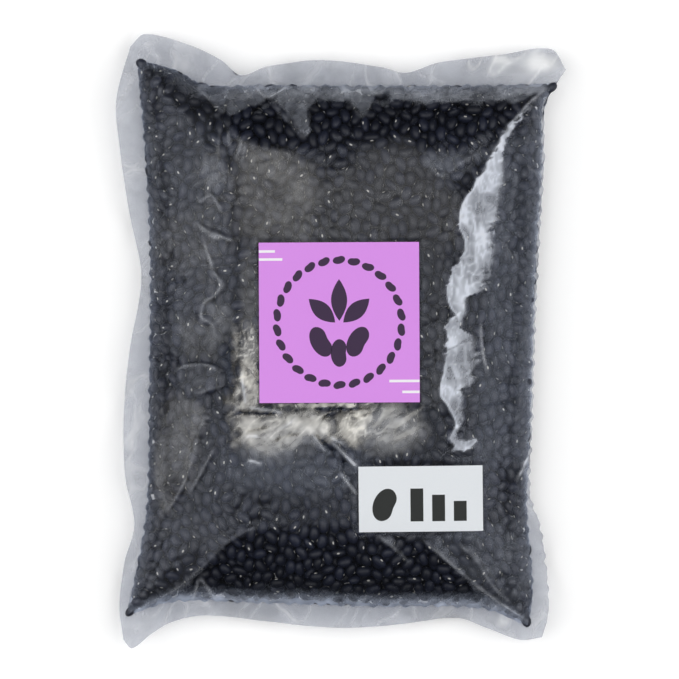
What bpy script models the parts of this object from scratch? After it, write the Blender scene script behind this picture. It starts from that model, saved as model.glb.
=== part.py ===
"""A clear film bag filled with dried beans, lying flat, with two paper labels on its front film.

The bag is one sealed body: a pillow of beans between a front and a back film, and the flat
film margin outside the seal. Metres, +Z up, +Y towards the bag's top end. The origin is under
the middle of the whole bag, on the surface that it lies on.
"""

import bpy
import numpy as np

# Heights of the filled body, in metres.
FULL_HEIGHT = 0.0450  # the front film over the middle of the bag
SEAL_HEIGHT = 0.0130  # the seal line, where the front and back films meet
CROWN_DROP = 0.0030  # how much lower the front film is at the plateau's edge than at its middle
MARGIN_THICKNESS = 0.0008  # both films of the margin, pressed together

# How far in from the seal the front film reaches the plateau, for each side.
FRONT_SLOPE = {"left": 0.062, "right": 0.054, "bottom": 0.066, "top": 0.050}
# How far in from the seal the back film touches the surface under the bag.
BACK_SLOPE = 0.024
MITRE_SHARPNESS = 5.0  # how crisply two slopes meet in the fold that runs in from a corner
# The profile of a slope: the first power sets how soon it levels out, the second how steeply it starts.
LEVELLING_POWER, STARTING_POWER = 2.1, 0.66

# The seal line as four sides, each from corner to corner. The corners are pulled out into tips.
SEAL_TIPS = {
    "bottom_left": (-0.1355, -0.1735),
    "bottom_right": (0.1186, -0.1805),
    "top_left": (-0.1285, 0.1775),
    "top_right": (0.1363, 0.1625),
}
SEAL_BENDS = {
    "bottom": ((-0.1050, -0.1645), (-0.0500, -0.1653), (0.0200, -0.1675), (0.0900, -0.1690)),
    "top": ((-0.1060, 0.1715), (-0.0850, 0.1618), (-0.0450, 0.1615), (0.0370, 0.1610), (0.1000, 0.1615)),
    "left": ((-0.1300, -0.1500), (-0.1225, -0.1050), (-0.1210, -0.0400), (-0.1205, 0.0600),
             (-0.1240, 0.1250)),
    "right": ((0.1210, -0.1550), (0.1170, -0.1050), (0.1185, -0.0500), (0.1215, 0.0400),
              (0.1260, 0.1150), (0.1270, 0.1490)),
}

# The cut edge of the margin, outside the seal line. It waves because the margin buckles.
EDGE_TIPS = {
    "bottom_left": (-0.1370, -0.1885),
    "bottom_right": (0.1270, -0.1870),
    "top_left": (-0.1330, 0.1860),
    "top_right": (0.1420, 0.1710),
}
EDGE_BENDS = {
    "bottom": ((-0.1315, -0.1937), (-0.1190, -0.1845), (-0.1070, -0.1775), (-0.0860, -0.1732),
               (-0.0480, -0.1770), (0.0000, -0.1810), (0.0400, -0.1785), (0.0740, -0.1750),
               (0.0920, -0.1810), (0.1130, -0.1885)),
    "top": ((-0.1237, 0.1937), (-0.0960, 0.1870), (-0.0760, 0.1775), (-0.0630, 0.1675),
            (-0.0460, 0.1732), (-0.0130, 0.1773), (0.0260, 0.1728), (0.0410, 0.1690),
            (0.0620, 0.1755), (0.1030, 0.1810), (0.1330, 0.1843)),
    "left": ((-0.1398, -0.1680), (-0.1365, -0.1400), (-0.1302, -0.1160), (-0.1358, -0.0860),
             (-0.1370, -0.0450), (-0.1330, -0.0050), (-0.1257, 0.0400), (-0.1330, 0.0780),
             (-0.1395, 0.1220), (-0.1414, 0.1520)),
    "right": ((0.1308, -0.1720), (0.1306, -0.1500), (0.1260, -0.1170), (0.1196, -0.0970),
              (0.1210, -0.0500), (0.1240, 0.0400), (0.1283, 0.1130), (0.1286, 0.1470),
              (0.1335, 0.1580)),
}

# The margin buckles up and down by this much at its cut edge, in this many waves round the bag.
MARGIN_WAVE = 0.0035
MARGIN_WAVES = 11

# Long folds of slack front film, parallel to the sides: (side, how far in, height, half width).
LONG_FOLDS = (("left", 0.052, 0.0020, 0.010), ("right", 0.036, 0.0026, 0.011))
FOLD_FADE = 0.25  # the share of the bag's length over which a long fold rises from nothing

# The labels: centre, width and height over the film, and turn in degrees.
MAIN_LABEL = {"centre": (-0.0009, 0.0114), "size": (0.0998, 0.0998), "turn": 0.3}
WEIGHT_LABEL = {"centre": (0.0499, -0.0984), "size": (0.0774, 0.0409), "turn": 0.6}
LABEL_THICKNESS = 0.0004
LABEL_GAP = 0.0005  # keeps the label's solid clear of the faceted film under it

# The finishes: colour and roughness.
FILM_OVER_BEANS = ((0.020, 0.021, 0.025), 0.25)
LILAC_PAPER = ((0.68, 0.27, 0.80), 0.55)
WHITE_PAPER = ((0.78, 0.80, 0.82), 0.55)

SHARP_ANGLE = np.radians(50)  # edges that turn more than this are drawn crisp

# Grid lines of the solids.
CELLS_ACROSS, CELLS_ALONG, MARGIN_ROWS = 32, 44, 2
MAIN_LABEL_CELLS, WEIGHT_LABEL_CELLS = (10, 10), (10, 6)


def smooth_curve(points, share):
    """Points on a Catmull-Rom curve through the given points, at shares 0 to 1 of its chord length."""
    points = np.asarray(points, float)
    chords = np.linalg.norm(np.diff(points, axis=0), axis=1)
    knots = np.concatenate([[0.0], np.cumsum(chords)]) / chords.sum()
    ends = np.vstack([2 * points[0] - points[1], points, 2 * points[-1] - points[-2]])
    knots_out = np.concatenate([[-knots[1]], knots, [2 - knots[-2]]])
    tangents = (ends[2:] - ends[:-2]) / (knots_out[2:] - knots_out[:-2])[:, None]
    share = np.clip(np.asarray(share, float), 0.0, 1.0)
    span = np.clip(np.searchsorted(knots, share, side="right") - 1, 0, len(knots) - 2)
    length = (knots[span + 1] - knots[span])[..., None]
    s = ((share - knots[span]) / (knots[span + 1] - knots[span]))[..., None]
    return (
        points[span] * (2 * s**3 - 3 * s**2 + 1)
        + tangents[span] * length * (s**3 - 2 * s**2 + s)
        + points[span + 1] * (3 * s**2 - 2 * s**3)
        + tangents[span + 1] * length * (s**3 - s**2)
    )


def side_curve(tips, bends, side, share):
    """One side of an outline. Bottom and top run from left to right, left and right from bottom to top."""
    first, last = {
        "bottom": ("bottom_left", "bottom_right"),
        "top": ("top_left", "top_right"),
        "left": ("bottom_left", "top_left"),
        "right": ("bottom_right", "top_right"),
    }[side]
    return smooth_curve([tips[first], *bends[side], tips[last]], share)


def filled_point(u, v):
    """The place of share u across and v along the filled body: a Coons patch between its four sides."""
    u, v = np.broadcast_arrays(np.asarray(u, float), np.asarray(v, float))
    bottom, top, left, right = (
        side_curve(SEAL_TIPS, SEAL_BENDS, side, share)
        for side, share in (("bottom", u), ("top", u), ("left", v), ("right", v))
    )
    u, v = u[..., None], v[..., None]
    corners = (
        (1 - u) * (1 - v) * np.array(SEAL_TIPS["bottom_left"])
        + u * (1 - v) * np.array(SEAL_TIPS["bottom_right"])
        + (1 - u) * v * np.array(SEAL_TIPS["top_left"])
        + u * v * np.array(SEAL_TIPS["top_right"])
    )
    return (1 - v) * bottom + v * top + (1 - u) * left + u * right - corners


def distances_in(u, v):
    """How far a point of the filled body is from each side of the seal, measured along the patch."""
    across = np.linalg.norm(filled_point(1.0, v) - filled_point(0.0, v), axis=-1)
    along = np.linalg.norm(filled_point(u, 1.0) - filled_point(u, 0.0), axis=-1)
    return {"left": u * across, "right": (1 - u) * across, "bottom": v * along, "top": (1 - v) * along}


def blunt_minimum(*shares):
    """A smooth minimum, so that two slopes meet in a fold with a small radius."""
    safe = [np.maximum(share, 1e-6) ** -MITRE_SHARPNESS for share in shares]
    return np.sum(safe, axis=0) ** (-1 / MITRE_SHARPNESS)


def bulge(share):
    """The rise of a film from the seal, 0, to full height, 1. It starts steep, round the outermost beans."""
    return (1 - (1 - np.clip(share, 0.0, 1.0)) ** LEVELLING_POWER) ** STARTING_POWER


def front_height(u, v):
    """The height of the front film over the filled body."""
    away = distances_in(u, v)
    rise = bulge(blunt_minimum(*(away[side] / FRONT_SLOPE[side] for side in FRONT_SLOPE)))
    crown = FULL_HEIGHT - CROWN_DROP * ((2 * u - 1) ** 4 + (2 * v - 1) ** 4) / 2
    height = SEAL_HEIGHT + (crown - SEAL_HEIGHT) * rise
    for side, middle, top, half_width in LONG_FOLDS:
        fade = np.clip(blunt_minimum(v, 1 - v) / FOLD_FADE, 0.0, 1.0)
        height = height + top * fade * np.exp(-(((away[side] - middle) / half_width) ** 2))
    return height


def back_height(u, v):
    """The height of the back film over the filled body: 0 where it lies on the surface."""
    away = distances_in(u, v)
    return SEAL_HEIGHT * (1 - bulge(blunt_minimum(*(d / BACK_SLOPE for d in away.values()))))


def round_the_bag():
    """(u, v) of the points on the seal line, anticlockwise from the bottom left tip."""
    u, v = np.linspace(0, 1, CELLS_ACROSS + 1), np.linspace(0, 1, CELLS_ALONG + 1)
    return np.concatenate([
        np.column_stack([u[:-1], np.zeros(CELLS_ACROSS)]),
        np.column_stack([np.ones(CELLS_ALONG), v[:-1]]),
        np.column_stack([u[:0:-1], np.ones(CELLS_ACROSS)]),
        np.column_stack([np.zeros(CELLS_ALONG), v[:0:-1]]),
    ])


def edge_loop():
    """The cut edge of the margin, one point for each point of round_the_bag()."""
    u, v = np.linspace(0, 1, CELLS_ACROSS + 1), np.linspace(0, 1, CELLS_ALONG + 1)
    sides = {side: side_curve(EDGE_TIPS, EDGE_BENDS, side, u if side in ("bottom", "top") else v)
             for side in EDGE_BENDS}
    rising, falling = ("bottom", "right"), ("top", "left")
    return np.concatenate([sides[side][:-1] for side in rising] + [sides[side][:0:-1] for side in falling])


def film_points(sign):
    """The points of one film, body then margin. sign is 1 for the front film and -1 for the back film."""
    u, v = np.meshgrid(np.linspace(0, 1, CELLS_ACROSS + 1), np.linspace(0, 1, CELLS_ALONG + 1))
    height = front_height(u, v) if sign > 0 else back_height(u, v)
    lift = sign * MARGIN_THICKNESS / 2
    body = np.dstack([filled_point(u, v), height]).reshape(-1, 3)
    on_seal = ((u == 0) | (u == 1) | (v == 0) | (v == 1)).ravel()
    body[on_seal, 2] = SEAL_HEIGHT + lift
    loop = round_the_bag()
    seal, edge = filled_point(loop[:, 0], loop[:, 1]), edge_loop()
    wave = MARGIN_WAVE * np.sin(2 * np.pi * MARGIN_WAVES * np.arange(len(loop)) / len(loop))
    margin = []
    for row in range(1, MARGIN_ROWS + 1):
        out = row / MARGIN_ROWS
        heights = SEAL_HEIGHT + wave * out**2 + lift
        margin.append(np.column_stack([seal + (edge - seal) * out, heights]))
    return np.concatenate([body, *margin])


def film_faces():
    """The quads of one film, seen from above."""
    columns = CELLS_ACROSS + 1
    index = np.arange(columns * (CELLS_ALONG + 1)).reshape(CELLS_ALONG + 1, columns)
    body = np.stack([index[:-1, :-1], index[:-1, 1:], index[1:, 1:], index[1:, :-1]], axis=-1).reshape(-1, 4)
    inner = np.concatenate([index[0, :-1], index[:-1, -1], index[-1, :0:-1], index[:0:-1, 0]])
    loops = [inner]
    for row in range(MARGIN_ROWS):
        loops.append(index.size + row * len(inner) + np.arange(len(inner)))
    rings = [
        np.column_stack([near, far, np.roll(far, -1), np.roll(near, -1)])
        for near, far in zip(loops[:-1], loops[1:])
    ]
    return np.concatenate([body, *rings]), loops[-1]


def make_material(name, colour, roughness):
    """A Principled material of one plain finish, none of them metal."""
    material = bpy.data.materials.new(name)
    material.use_nodes = True
    shader = material.node_tree.nodes["Principled BSDF"]
    shader.inputs["Base Color"].default_value = (*colour, 1.0)
    shader.inputs["Roughness"].default_value = roughness
    shader.inputs["Metallic"].default_value = 0.0
    return material


def make_object(name, points, faces, material):
    """A mesh object from arrays of points and faces, linked to the scene."""
    mesh = bpy.data.meshes.new(name)
    mesh.from_pydata(points.tolist(), [], [list(map(int, face)) for face in faces])
    mesh.materials.append(material)
    mesh.shade_smooth()
    mesh.set_sharp_from_angle(angle=SHARP_ANGLE)
    made = bpy.data.objects.new(name, mesh)
    bpy.context.scene.collection.objects.link(made)
    return made


def make_bag():
    """The filled body and its margin as one closed solid."""
    front, back = film_points(1), film_points(-1)
    faces, rim = film_faces()
    below = rim + len(front)
    walls = np.column_stack([rim, below, np.roll(below, -1), np.roll(rim, -1)])
    every_face = np.concatenate([faces, faces[:, ::-1] + len(front), walls])
    finish = make_material("film_over_beans", *FILM_OVER_BEANS)
    return make_object("bag", np.concatenate([front, back]), every_face, finish)


def shares_of(places):
    """(u, v) of places on the filled body, by a few steps of Newton's method."""
    middle = (filled_point(0.0, 0.0) + filled_point(1.0, 1.0)) / 2
    size = filled_point(1.0, 1.0) - filled_point(0.0, 0.0)
    shares = (places - middle) / size + 0.5
    step = 1e-4
    for _ in range(8):
        u, v = shares[..., 0], shares[..., 1]
        here = filled_point(u, v)
        by_u = (filled_point(u + step, v) - here) / step
        by_v = (filled_point(u, v + step) - here) / step
        slopes = np.stack([by_u, by_v], axis=-1)
        shares = shares + np.linalg.solve(slopes, (places - here)[..., None])[..., 0]
    return shares


def make_label(name, label, cells, finish):
    """A thin sheet that follows the front film under it."""
    across, along = (np.linspace(-0.5, 0.5, n + 1) for n in cells)
    x, y = np.meshgrid(across * label["size"][0], along * label["size"][1])
    turn = np.radians(label["turn"])
    places = np.stack([
        label["centre"][0] + x * np.cos(turn) - y * np.sin(turn),
        label["centre"][1] + x * np.sin(turn) + y * np.cos(turn),
    ], axis=-1)
    shares = shares_of(places)
    under = front_height(shares[..., 0], shares[..., 1]) + LABEL_GAP
    below = np.dstack([places, under]).reshape(-1, 3)
    above = below + [0.0, 0.0, LABEL_THICKNESS]
    index = np.arange(len(below)).reshape(x.shape)
    faces = np.stack([index[:-1, :-1], index[:-1, 1:], index[1:, 1:], index[1:, :-1]], axis=-1).reshape(-1, 4)
    rim = np.concatenate([index[0, :-1], index[:-1, -1], index[-1, :0:-1], index[:0:-1, 0]])
    lower = rim + len(above)
    walls = np.column_stack([rim, lower, np.roll(lower, -1), np.roll(rim, -1)])
    every_face = np.concatenate([faces, faces[:, ::-1] + len(above), walls])
    return make_object(name, np.concatenate([above, below]), every_face, finish)


def middle_of(made):
    """The middle of an object's bounding box, seen from above."""
    corners = np.array([tuple(corner) for corner in made.bound_box])[:, :2]
    return (corners.min(axis=0) + corners.max(axis=0)) / 2


def main():
    for old in list(bpy.data.objects):
        bpy.data.objects.remove(old)
    bag = make_bag()
    lilac, white = make_material("lilac_paper", *LILAC_PAPER), make_material("white_paper", *WHITE_PAPER)
    for label in (make_label("main_label", MAIN_LABEL, MAIN_LABEL_CELLS, lilac),
                  make_label("weight_label", WEIGHT_LABEL, WEIGHT_LABEL_CELLS, white)):
        label.parent = bag
    bag.location.xy = -middle_of(bag)


main()
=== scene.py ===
# %% [markdown]
# # A bag of dried beans
#
# A clear film bag lies on its back, filled with small black beans. Two stickers sit on its front.
# The lesson builds it the way that it is packed: first the beans, then the film drawn over them,
# then the stickers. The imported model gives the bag's box and the stickers' places.

# %% Load the fixed frame
import bpy
import numpy as np
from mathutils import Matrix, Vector


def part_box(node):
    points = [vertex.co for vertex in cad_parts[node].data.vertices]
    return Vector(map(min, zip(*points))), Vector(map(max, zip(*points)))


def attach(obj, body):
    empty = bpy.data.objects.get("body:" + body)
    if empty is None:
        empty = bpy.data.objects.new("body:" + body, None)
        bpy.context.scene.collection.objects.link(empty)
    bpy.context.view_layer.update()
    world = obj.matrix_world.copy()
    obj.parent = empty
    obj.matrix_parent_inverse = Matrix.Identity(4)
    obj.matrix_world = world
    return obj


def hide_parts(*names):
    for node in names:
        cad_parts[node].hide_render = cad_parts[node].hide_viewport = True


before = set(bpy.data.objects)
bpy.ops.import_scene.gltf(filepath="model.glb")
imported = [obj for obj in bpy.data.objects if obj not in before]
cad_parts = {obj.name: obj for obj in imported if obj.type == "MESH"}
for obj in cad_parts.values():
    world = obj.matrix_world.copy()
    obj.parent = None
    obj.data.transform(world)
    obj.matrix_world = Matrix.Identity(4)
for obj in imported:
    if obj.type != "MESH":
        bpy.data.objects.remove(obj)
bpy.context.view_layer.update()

BAG_LOW, BAG_HIGH = (np.array(corner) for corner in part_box("bag"))
print("bag box in mm:", np.round(1000 * (BAG_HIGH - BAG_LOW), 1))

# %% [markdown]
# ## Camera, floor and lamps
#
# A pack like this is shown from straight above, from far enough away that its sides hardly lean
# outwards. A long lens at two metres and more gives that.
# Clear film shows almost nothing but what it mirrors, so the lamps are large and few: a wide soft
# one overhead, which flat film mirrors as a faint veil, and a bright one on each side, which only
# creases and shoulders that lean the right way can catch.

# %% Camera
CAMERA_HEIGHT = 2.4
CAMERA_ASIDE = (-0.0009, 0.0009)
VIEW_WIDTH = 0.4284  # how much of the seal's level the frame spans
SEAL_HEIGHT = 0.0130


def make_camera():
    """A camera that looks straight down. The lens is the sensor's width times distance over view."""
    data = bpy.data.cameras.new("camera")
    data.sensor_width = 36.0
    data.lens = data.sensor_width * (CAMERA_HEIGHT - SEAL_HEIGHT) / VIEW_WIDTH
    camera = bpy.data.objects.new("camera", data)
    camera.location = (*CAMERA_ASIDE, CAMERA_HEIGHT)
    bpy.context.scene.collection.objects.link(camera)
    bpy.context.scene.camera = camera


make_camera()
bpy.context.scene.view_settings.view_transform = "Standard"
print("lens in mm:", round(bpy.data.cameras["camera"].lens, 1))

# %% Lamps
OVERHEAD = {"place": (0.0, 0.0, 3.2), "size": (2.2, 2.0), "watts": 14.0}
SIDES = {"place": (1.25, 0.0, 1.25), "size": (2.0, 2.2), "watts": 24.0}
WORLD_STRENGTH = 0.10


def make_lamp(name, place, size, watts):
    """A white rectangular lamp that faces the middle of the bag."""
    data = bpy.data.lights.new(name, "AREA")
    data.shape = "RECTANGLE"
    data.size, data.size_y = size
    data.energy = watts
    lamp = bpy.data.objects.new(name, data)
    lamp.location = place
    lamp.rotation_euler = (-Vector(place)).to_track_quat("-Z", "Y").to_euler()
    bpy.context.scene.collection.objects.link(lamp)


make_lamp("overhead_lamp", **OVERHEAD)
for name, side in (("left_lamp", -1), ("right_lamp", 1)):
    x, y, z = SIDES["place"]
    make_lamp(name, (side * x, y, z), SIDES["size"], SIDES["watts"])

world = bpy.data.worlds.new("world")
world.use_nodes = True
background = world.node_tree.nodes["Background"]
background.inputs["Color"].default_value = (1.0, 1.0, 1.0, 1.0)
background.inputs["Strength"].default_value = WORLD_STRENGTH
bpy.context.scene.world = world
print("lamps:", len(bpy.data.lights), "world strength:", WORLD_STRENGTH)

# %% Floor
FLOOR_HALF = 1.6
FLOOR_WHITE = 1.0
FLOOR_GLOW = 0.12  # as if lit from below, which thins the bag's shadow
FLOOR_GAP = 0.0004


def plain_material(name, colour, roughness):
    """A Principled material of one colour, for the floor and for others to build on."""
    material = bpy.data.materials.new(name)
    material.use_nodes = True
    shader = material.node_tree.nodes["Principled BSDF"]
    shader.inputs["Base Color"].default_value = (*colour, 1.0)
    shader.inputs["Roughness"].default_value = roughness
    return material


def put_mesh(name, points, faces, material, smooth=True):
    """A mesh object from whole arrays: points (n, 3) and faces as one or more (m, 3) or (m, 4) arrays."""
    blocks = faces if isinstance(faces, (list, tuple)) else [faces]
    corners = np.concatenate([block.ravel() for block in blocks]).astype(np.int32)
    sizes = np.concatenate([np.full(len(block), block.shape[1]) for block in blocks])
    mesh = bpy.data.meshes.new(name)
    mesh.vertices.add(len(points))
    mesh.vertices.foreach_set("co", np.asarray(points, np.float32).ravel())
    mesh.loops.add(len(corners))
    mesh.loops.foreach_set("vertex_index", corners)
    mesh.polygons.add(len(sizes))
    mesh.polygons.foreach_set("loop_start", (np.cumsum(sizes) - sizes).astype(np.int32))
    mesh.update(calc_edges=True)
    mesh.polygons.foreach_set("use_smooth", np.full(len(sizes), smooth))
    mesh.materials.append(material)
    made = bpy.data.objects.new(name, mesh)
    bpy.context.scene.collection.objects.link(made)
    print(f"{name}: {len(points)} points, {int((sizes - 2).sum())} triangles")
    return made


floor_paper = plain_material("floor", (FLOOR_WHITE,) * 3, 0.9)
floor_shader = floor_paper.node_tree.nodes["Principled BSDF"]
floor_shader.inputs["Emission Color"].default_value = (1.0, 1.0, 1.0, 1.0)
floor_shader.inputs["Emission Strength"].default_value = FLOOR_GLOW
floor_corners = FLOOR_HALF * np.array([[-1, -1, 0], [1, -1, 0], [1, 1, 0], [-1, 1, 0]])
floor_corners = floor_corners - [0, 0, FLOOR_GAP]
put_mesh("floor", floor_corners, np.array([[0, 1, 2, 3]]), floor_paper)

# %% [markdown]
# ## The plan of the bag
#
# The film is sealed all round. Inside the seal line it bulges over the beans, outside it a flat
# margin runs to the cut edge. Each line is four sides between four corner tips, and each side is a
# smooth curve through a few points. A Coons patch fills the seal line: it blends the four sides, so
# that shares u and v of 0 to 1 reach every place in the bag.

# %% Outlines
SEAL = {
    "bottom_left": (-0.1355, -0.1735),
    "bottom_right": (0.1186, -0.1805),
    "top_left": (-0.1285, 0.1775),
    "top_right": (0.1363, 0.1625),
    "bottom": ((-0.1050, -0.1645), (-0.0500, -0.1653), (0.0200, -0.1675), (0.0900, -0.1690)),
    "top": ((-0.1060, 0.1715), (-0.0850, 0.1618), (-0.0450, 0.1615), (0.0370, 0.1610), (0.1000, 0.1615)),
    "left": ((-0.1300, -0.1500), (-0.1225, -0.1050), (-0.1210, -0.0400), (-0.1205, 0.0600),
             (-0.1240, 0.1250)),
    "right": ((0.1212, -0.1550), (0.1176, -0.1050), (0.1197, -0.0500), (0.1227, 0.0400),
              (0.1270, 0.1150), (0.1276, 0.1490)),
}
EDGE = {
    "bottom_left": (-0.1370, -0.1885),
    "bottom_right": (0.1270, -0.1870),
    "top_left": (-0.1330, 0.1860),
    "top_right": (0.1420, 0.1710),
    "bottom": ((-0.1315, -0.1937), (-0.1190, -0.1845), (-0.1070, -0.1775), (-0.0860, -0.1732),
               (-0.0480, -0.1770), (0.0000, -0.1810), (0.0400, -0.1785), (0.0740, -0.1750),
               (0.0920, -0.1810), (0.1130, -0.1885)),
    "top": ((-0.1237, 0.1937), (-0.0960, 0.1870), (-0.0760, 0.1775), (-0.0630, 0.1675),
            (-0.0460, 0.1732), (-0.0130, 0.1773), (0.0260, 0.1728), (0.0410, 0.1690),
            (0.0620, 0.1755), (0.1030, 0.1810), (0.1330, 0.1843)),
    "left": ((-0.1398, -0.1680), (-0.1365, -0.1400), (-0.1302, -0.1160), (-0.1358, -0.0860),
             (-0.1370, -0.0450), (-0.1330, -0.0050), (-0.1257, 0.0400), (-0.1330, 0.0780),
             (-0.1395, 0.1220), (-0.1414, 0.1520)),
    "right": ((0.1308, -0.1720), (0.1306, -0.1500), (0.1260, -0.1170), (0.1196, -0.0970),
              (0.1210, -0.0500), (0.1240, 0.0400), (0.1283, 0.1130), (0.1286, 0.1470),
              (0.1335, 0.1580)),
}
ENDS = {
    "bottom": ("bottom_left", "bottom_right"),
    "top": ("top_left", "top_right"),
    "left": ("bottom_left", "top_left"),
    "right": ("bottom_right", "top_right"),
}


def smooth_curve(points, share):
    """A Catmull-Rom curve: a cubic between each two points, whose slope at a point is that of the
    line between its neighbours. share runs from 0 to 1 along the chords."""
    points = np.asarray(points, float)
    chords = np.linalg.norm(np.diff(points, axis=0), axis=1)
    knots = np.concatenate([[0.0], np.cumsum(chords)]) / chords.sum()
    ends = np.vstack([2 * points[0] - points[1], points, 2 * points[-1] - points[-2]])
    knots_out = np.concatenate([[-knots[1]], knots, [2 - knots[-2]]])
    tangents = (ends[2:] - ends[:-2]) / (knots_out[2:] - knots_out[:-2])[:, None]
    share = np.clip(np.asarray(share, float), 0.0, 1.0)
    span = np.clip(np.searchsorted(knots, share, side="right") - 1, 0, len(knots) - 2)
    length = (knots[span + 1] - knots[span])[..., None]
    s = ((share - knots[span]) / (knots[span + 1] - knots[span]))[..., None]
    return (
        points[span] * (2 * s**3 - 3 * s**2 + 1)
        + tangents[span] * length * (s**3 - 2 * s**2 + s)
        + points[span + 1] * (3 * s**2 - 2 * s**3)
        + tangents[span + 1] * length * (s**3 - s**2)
    )


def side_curve(outline, side, share):
    """One side of an outline, from left to right or from bottom to top, in the frame's place."""
    first, last = ENDS[side]
    return smooth_curve([outline[first], *outline[side], outline[last]], share) + HOME


HOME = np.zeros(2)
SHARES = np.linspace(0, 1, 200)
drawn = np.concatenate([side_curve(EDGE, side, SHARES) for side in ENDS])
HOME = (BAG_LOW[:2] + BAG_HIGH[:2] - drawn.min(axis=0) - drawn.max(axis=0)) / 2
print("plan size in mm:", np.round(1000 * (drawn.max(axis=0) - drawn.min(axis=0)), 1))

# %% The patch between the sides


def filled_point(u, v):
    """The place of share u across and v along: each pair of facing sides blended straight across,
    added together, less the straight blend of the four corners that they share."""
    u, v = np.asarray(u, float), np.asarray(v, float)
    bottom, top = side_curve(SEAL, "bottom", u), side_curve(SEAL, "top", u)
    left, right = side_curve(SEAL, "left", v), side_curve(SEAL, "right", v)
    u, v = u[..., None], v[..., None]
    tips = {name: np.array(SEAL[name]) + HOME for pair in ENDS.values() for name in pair}
    corners = (
        (1 - u) * (1 - v) * tips["bottom_left"]
        + u * (1 - v) * tips["bottom_right"]
        + (1 - u) * v * tips["top_left"]
        + u * v * tips["top_right"]
    )
    return (1 - v) * bottom + v * top + (1 - u) * left + u * right - corners


print("middle of the patch in mm:", np.round(1000 * filled_point(0.5, 0.5), 1))

# %% How far in a place is


def distances_in(u, v):
    """How far a place is from each side of the seal, measured along the patch."""
    across = np.linalg.norm(filled_point(1.0, v) - filled_point(0.0, v), axis=-1)
    along = np.linalg.norm(filled_point(u, 1.0) - filled_point(u, 0.0), axis=-1)
    return {"left": u * across, "right": (1 - u) * across, "bottom": v * along, "top": (1 - v) * along}


middle_in = distances_in(0.5, 0.5)
print("from the middle to each side in mm:", {side: round(1000 * float(d)) for side, d in middle_in.items()})

# %% [markdown]
# ## Bumps along the seal
#
# The seal isn't a drawn line: beans lie against it and push it outwards, each by a little.
# Two sines of unlike step, added along each side, give bumps that never quite repeat. They die
# out a few millimetres in, so that the pillow stays smooth.

# %% Bumps along the seal
RIPPLE = 0.00045
RIPPLE_STEPS = (0.0073, 0.0117)
RIPPLE_REACH = 0.006


def smooth_step(share):
    """0 below 0, 1 above 1, and the curve 3t^2 - 2t^3 between."""
    share = np.clip(share, 0, 1)
    return share * share * (3 - 2 * share)


def ripple(share, axis, seed):
    """How far beans push a side of the seal out: two sines of unlike step, still at the corners."""
    run = share * (BAG_HIGH - BAG_LOW)[axis]
    waves = sum(np.sin(2 * np.pi * run / step + seed * step / RIPPLE) for step in RIPPLE_STEPS)
    return RIPPLE * waves * smooth_step(8 * np.minimum(share, 1 - share))


def bag_point(u, v):
    """The filled point, moved by the bumps of each side, which die out a little way in."""
    places, away = filled_point(u, v), distances_in(u, v)
    runs = (("bottom", u, 0), ("top", u, 0), ("left", v, 1), ("right", v, 1))
    for seed, (side, share, axis) in enumerate(runs):
        places[..., 1 - axis] += ripple(share, axis, seed) * np.exp(-away[side] / RIPPLE_REACH)
    return places


print("largest bump in mm:", round(1000 * float(np.abs(ripple(SHARES, 1, 3)).max()), 2))


# %% [markdown]
# ## The pillow's two heights
#
# Each film rises from the seal to a plateau. The slope of a side is a rounded profile of the
# distance from that side, and a blunt minimum of the four slopes gives the folds that run in from
# the corners, like the hips of a roof. These are the same sizes that the solid was built from.

# %% Heights
FULL_HEIGHT = 0.0450
CROWN_DROP = 0.0030
FRONT_SLOPE = {"left": 0.062, "right": 0.054, "bottom": 0.066, "top": 0.050}
BACK_SLOPE = 0.024
MITRE_SHARPNESS = 5.0
LEVELLING_POWER, STARTING_POWER = 2.1, 0.66


def blunt_minimum(*shares):
    """A smooth minimum: the sum of high negative powers, brought back by the root."""
    return sum(np.maximum(share, 1e-6) ** -MITRE_SHARPNESS for share in shares) ** (-1 / MITRE_SHARPNESS)


def bulge(share):
    """The rise from the seal, 0, to full height, 1, steep at first and level at the end."""
    return (1 - (1 - np.clip(share, 0.0, 1.0)) ** LEVELLING_POWER) ** STARTING_POWER


def front_height(u, v):
    """The front film: the seal's height, plus the crown's height over it times the bulge."""
    away = distances_in(u, v)
    rise = bulge(blunt_minimum(*(away[side] / FRONT_SLOPE[side] for side in FRONT_SLOPE)))
    crown = FULL_HEIGHT - CROWN_DROP * ((2 * u - 1) ** 4 + (2 * v - 1) ** 4) / 2
    return SEAL_HEIGHT + (crown - SEAL_HEIGHT) * rise


def back_height(u, v):
    """The back film: the seal's height times what the bulge leaves, 0 where it lies on the table."""
    away = distances_in(u, v)
    return SEAL_HEIGHT * (1 - bulge(blunt_minimum(*(d / BACK_SLOPE for d in away.values()))))


print("front height at the middle in mm:", round(1000 * float(front_height(0.5, 0.5)), 1))

# %% [markdown]
# ## Height maps
#
# Beans and film have to feel where the other is, so both heights also go onto a square grid, seen
# from above. On a grid, rolling a ball along the inside of the film is a simple job: the ball's
# centre can be no higher than the film less the ball's own height, wherever the ball reaches.

# %% Two height maps
CELL = 0.001
MAP_MARGIN = 0.008
MAP_LOW = BAG_LOW[:2] - MAP_MARGIN
MAP_SHAPE = tuple(np.ceil((BAG_HIGH[:2] - BAG_LOW[:2] + 2 * MAP_MARGIN) / CELL).astype(int)[::-1])


def map_of(places, values, outside, cell=CELL, shape=MAP_SHAPE):
    """A height map: each cell holds the mean of the values that fall in it, or outside if none do."""
    column, row = np.floor((places - MAP_LOW) / cell).astype(int).reshape(-1, 2).T
    index = row * shape[1] + column
    count = np.bincount(index, minlength=shape[0] * shape[1])
    total = np.bincount(index, values.ravel(), minlength=shape[0] * shape[1])
    return np.where(count > 0, total / np.maximum(count, 1), outside).reshape(shape)


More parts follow.
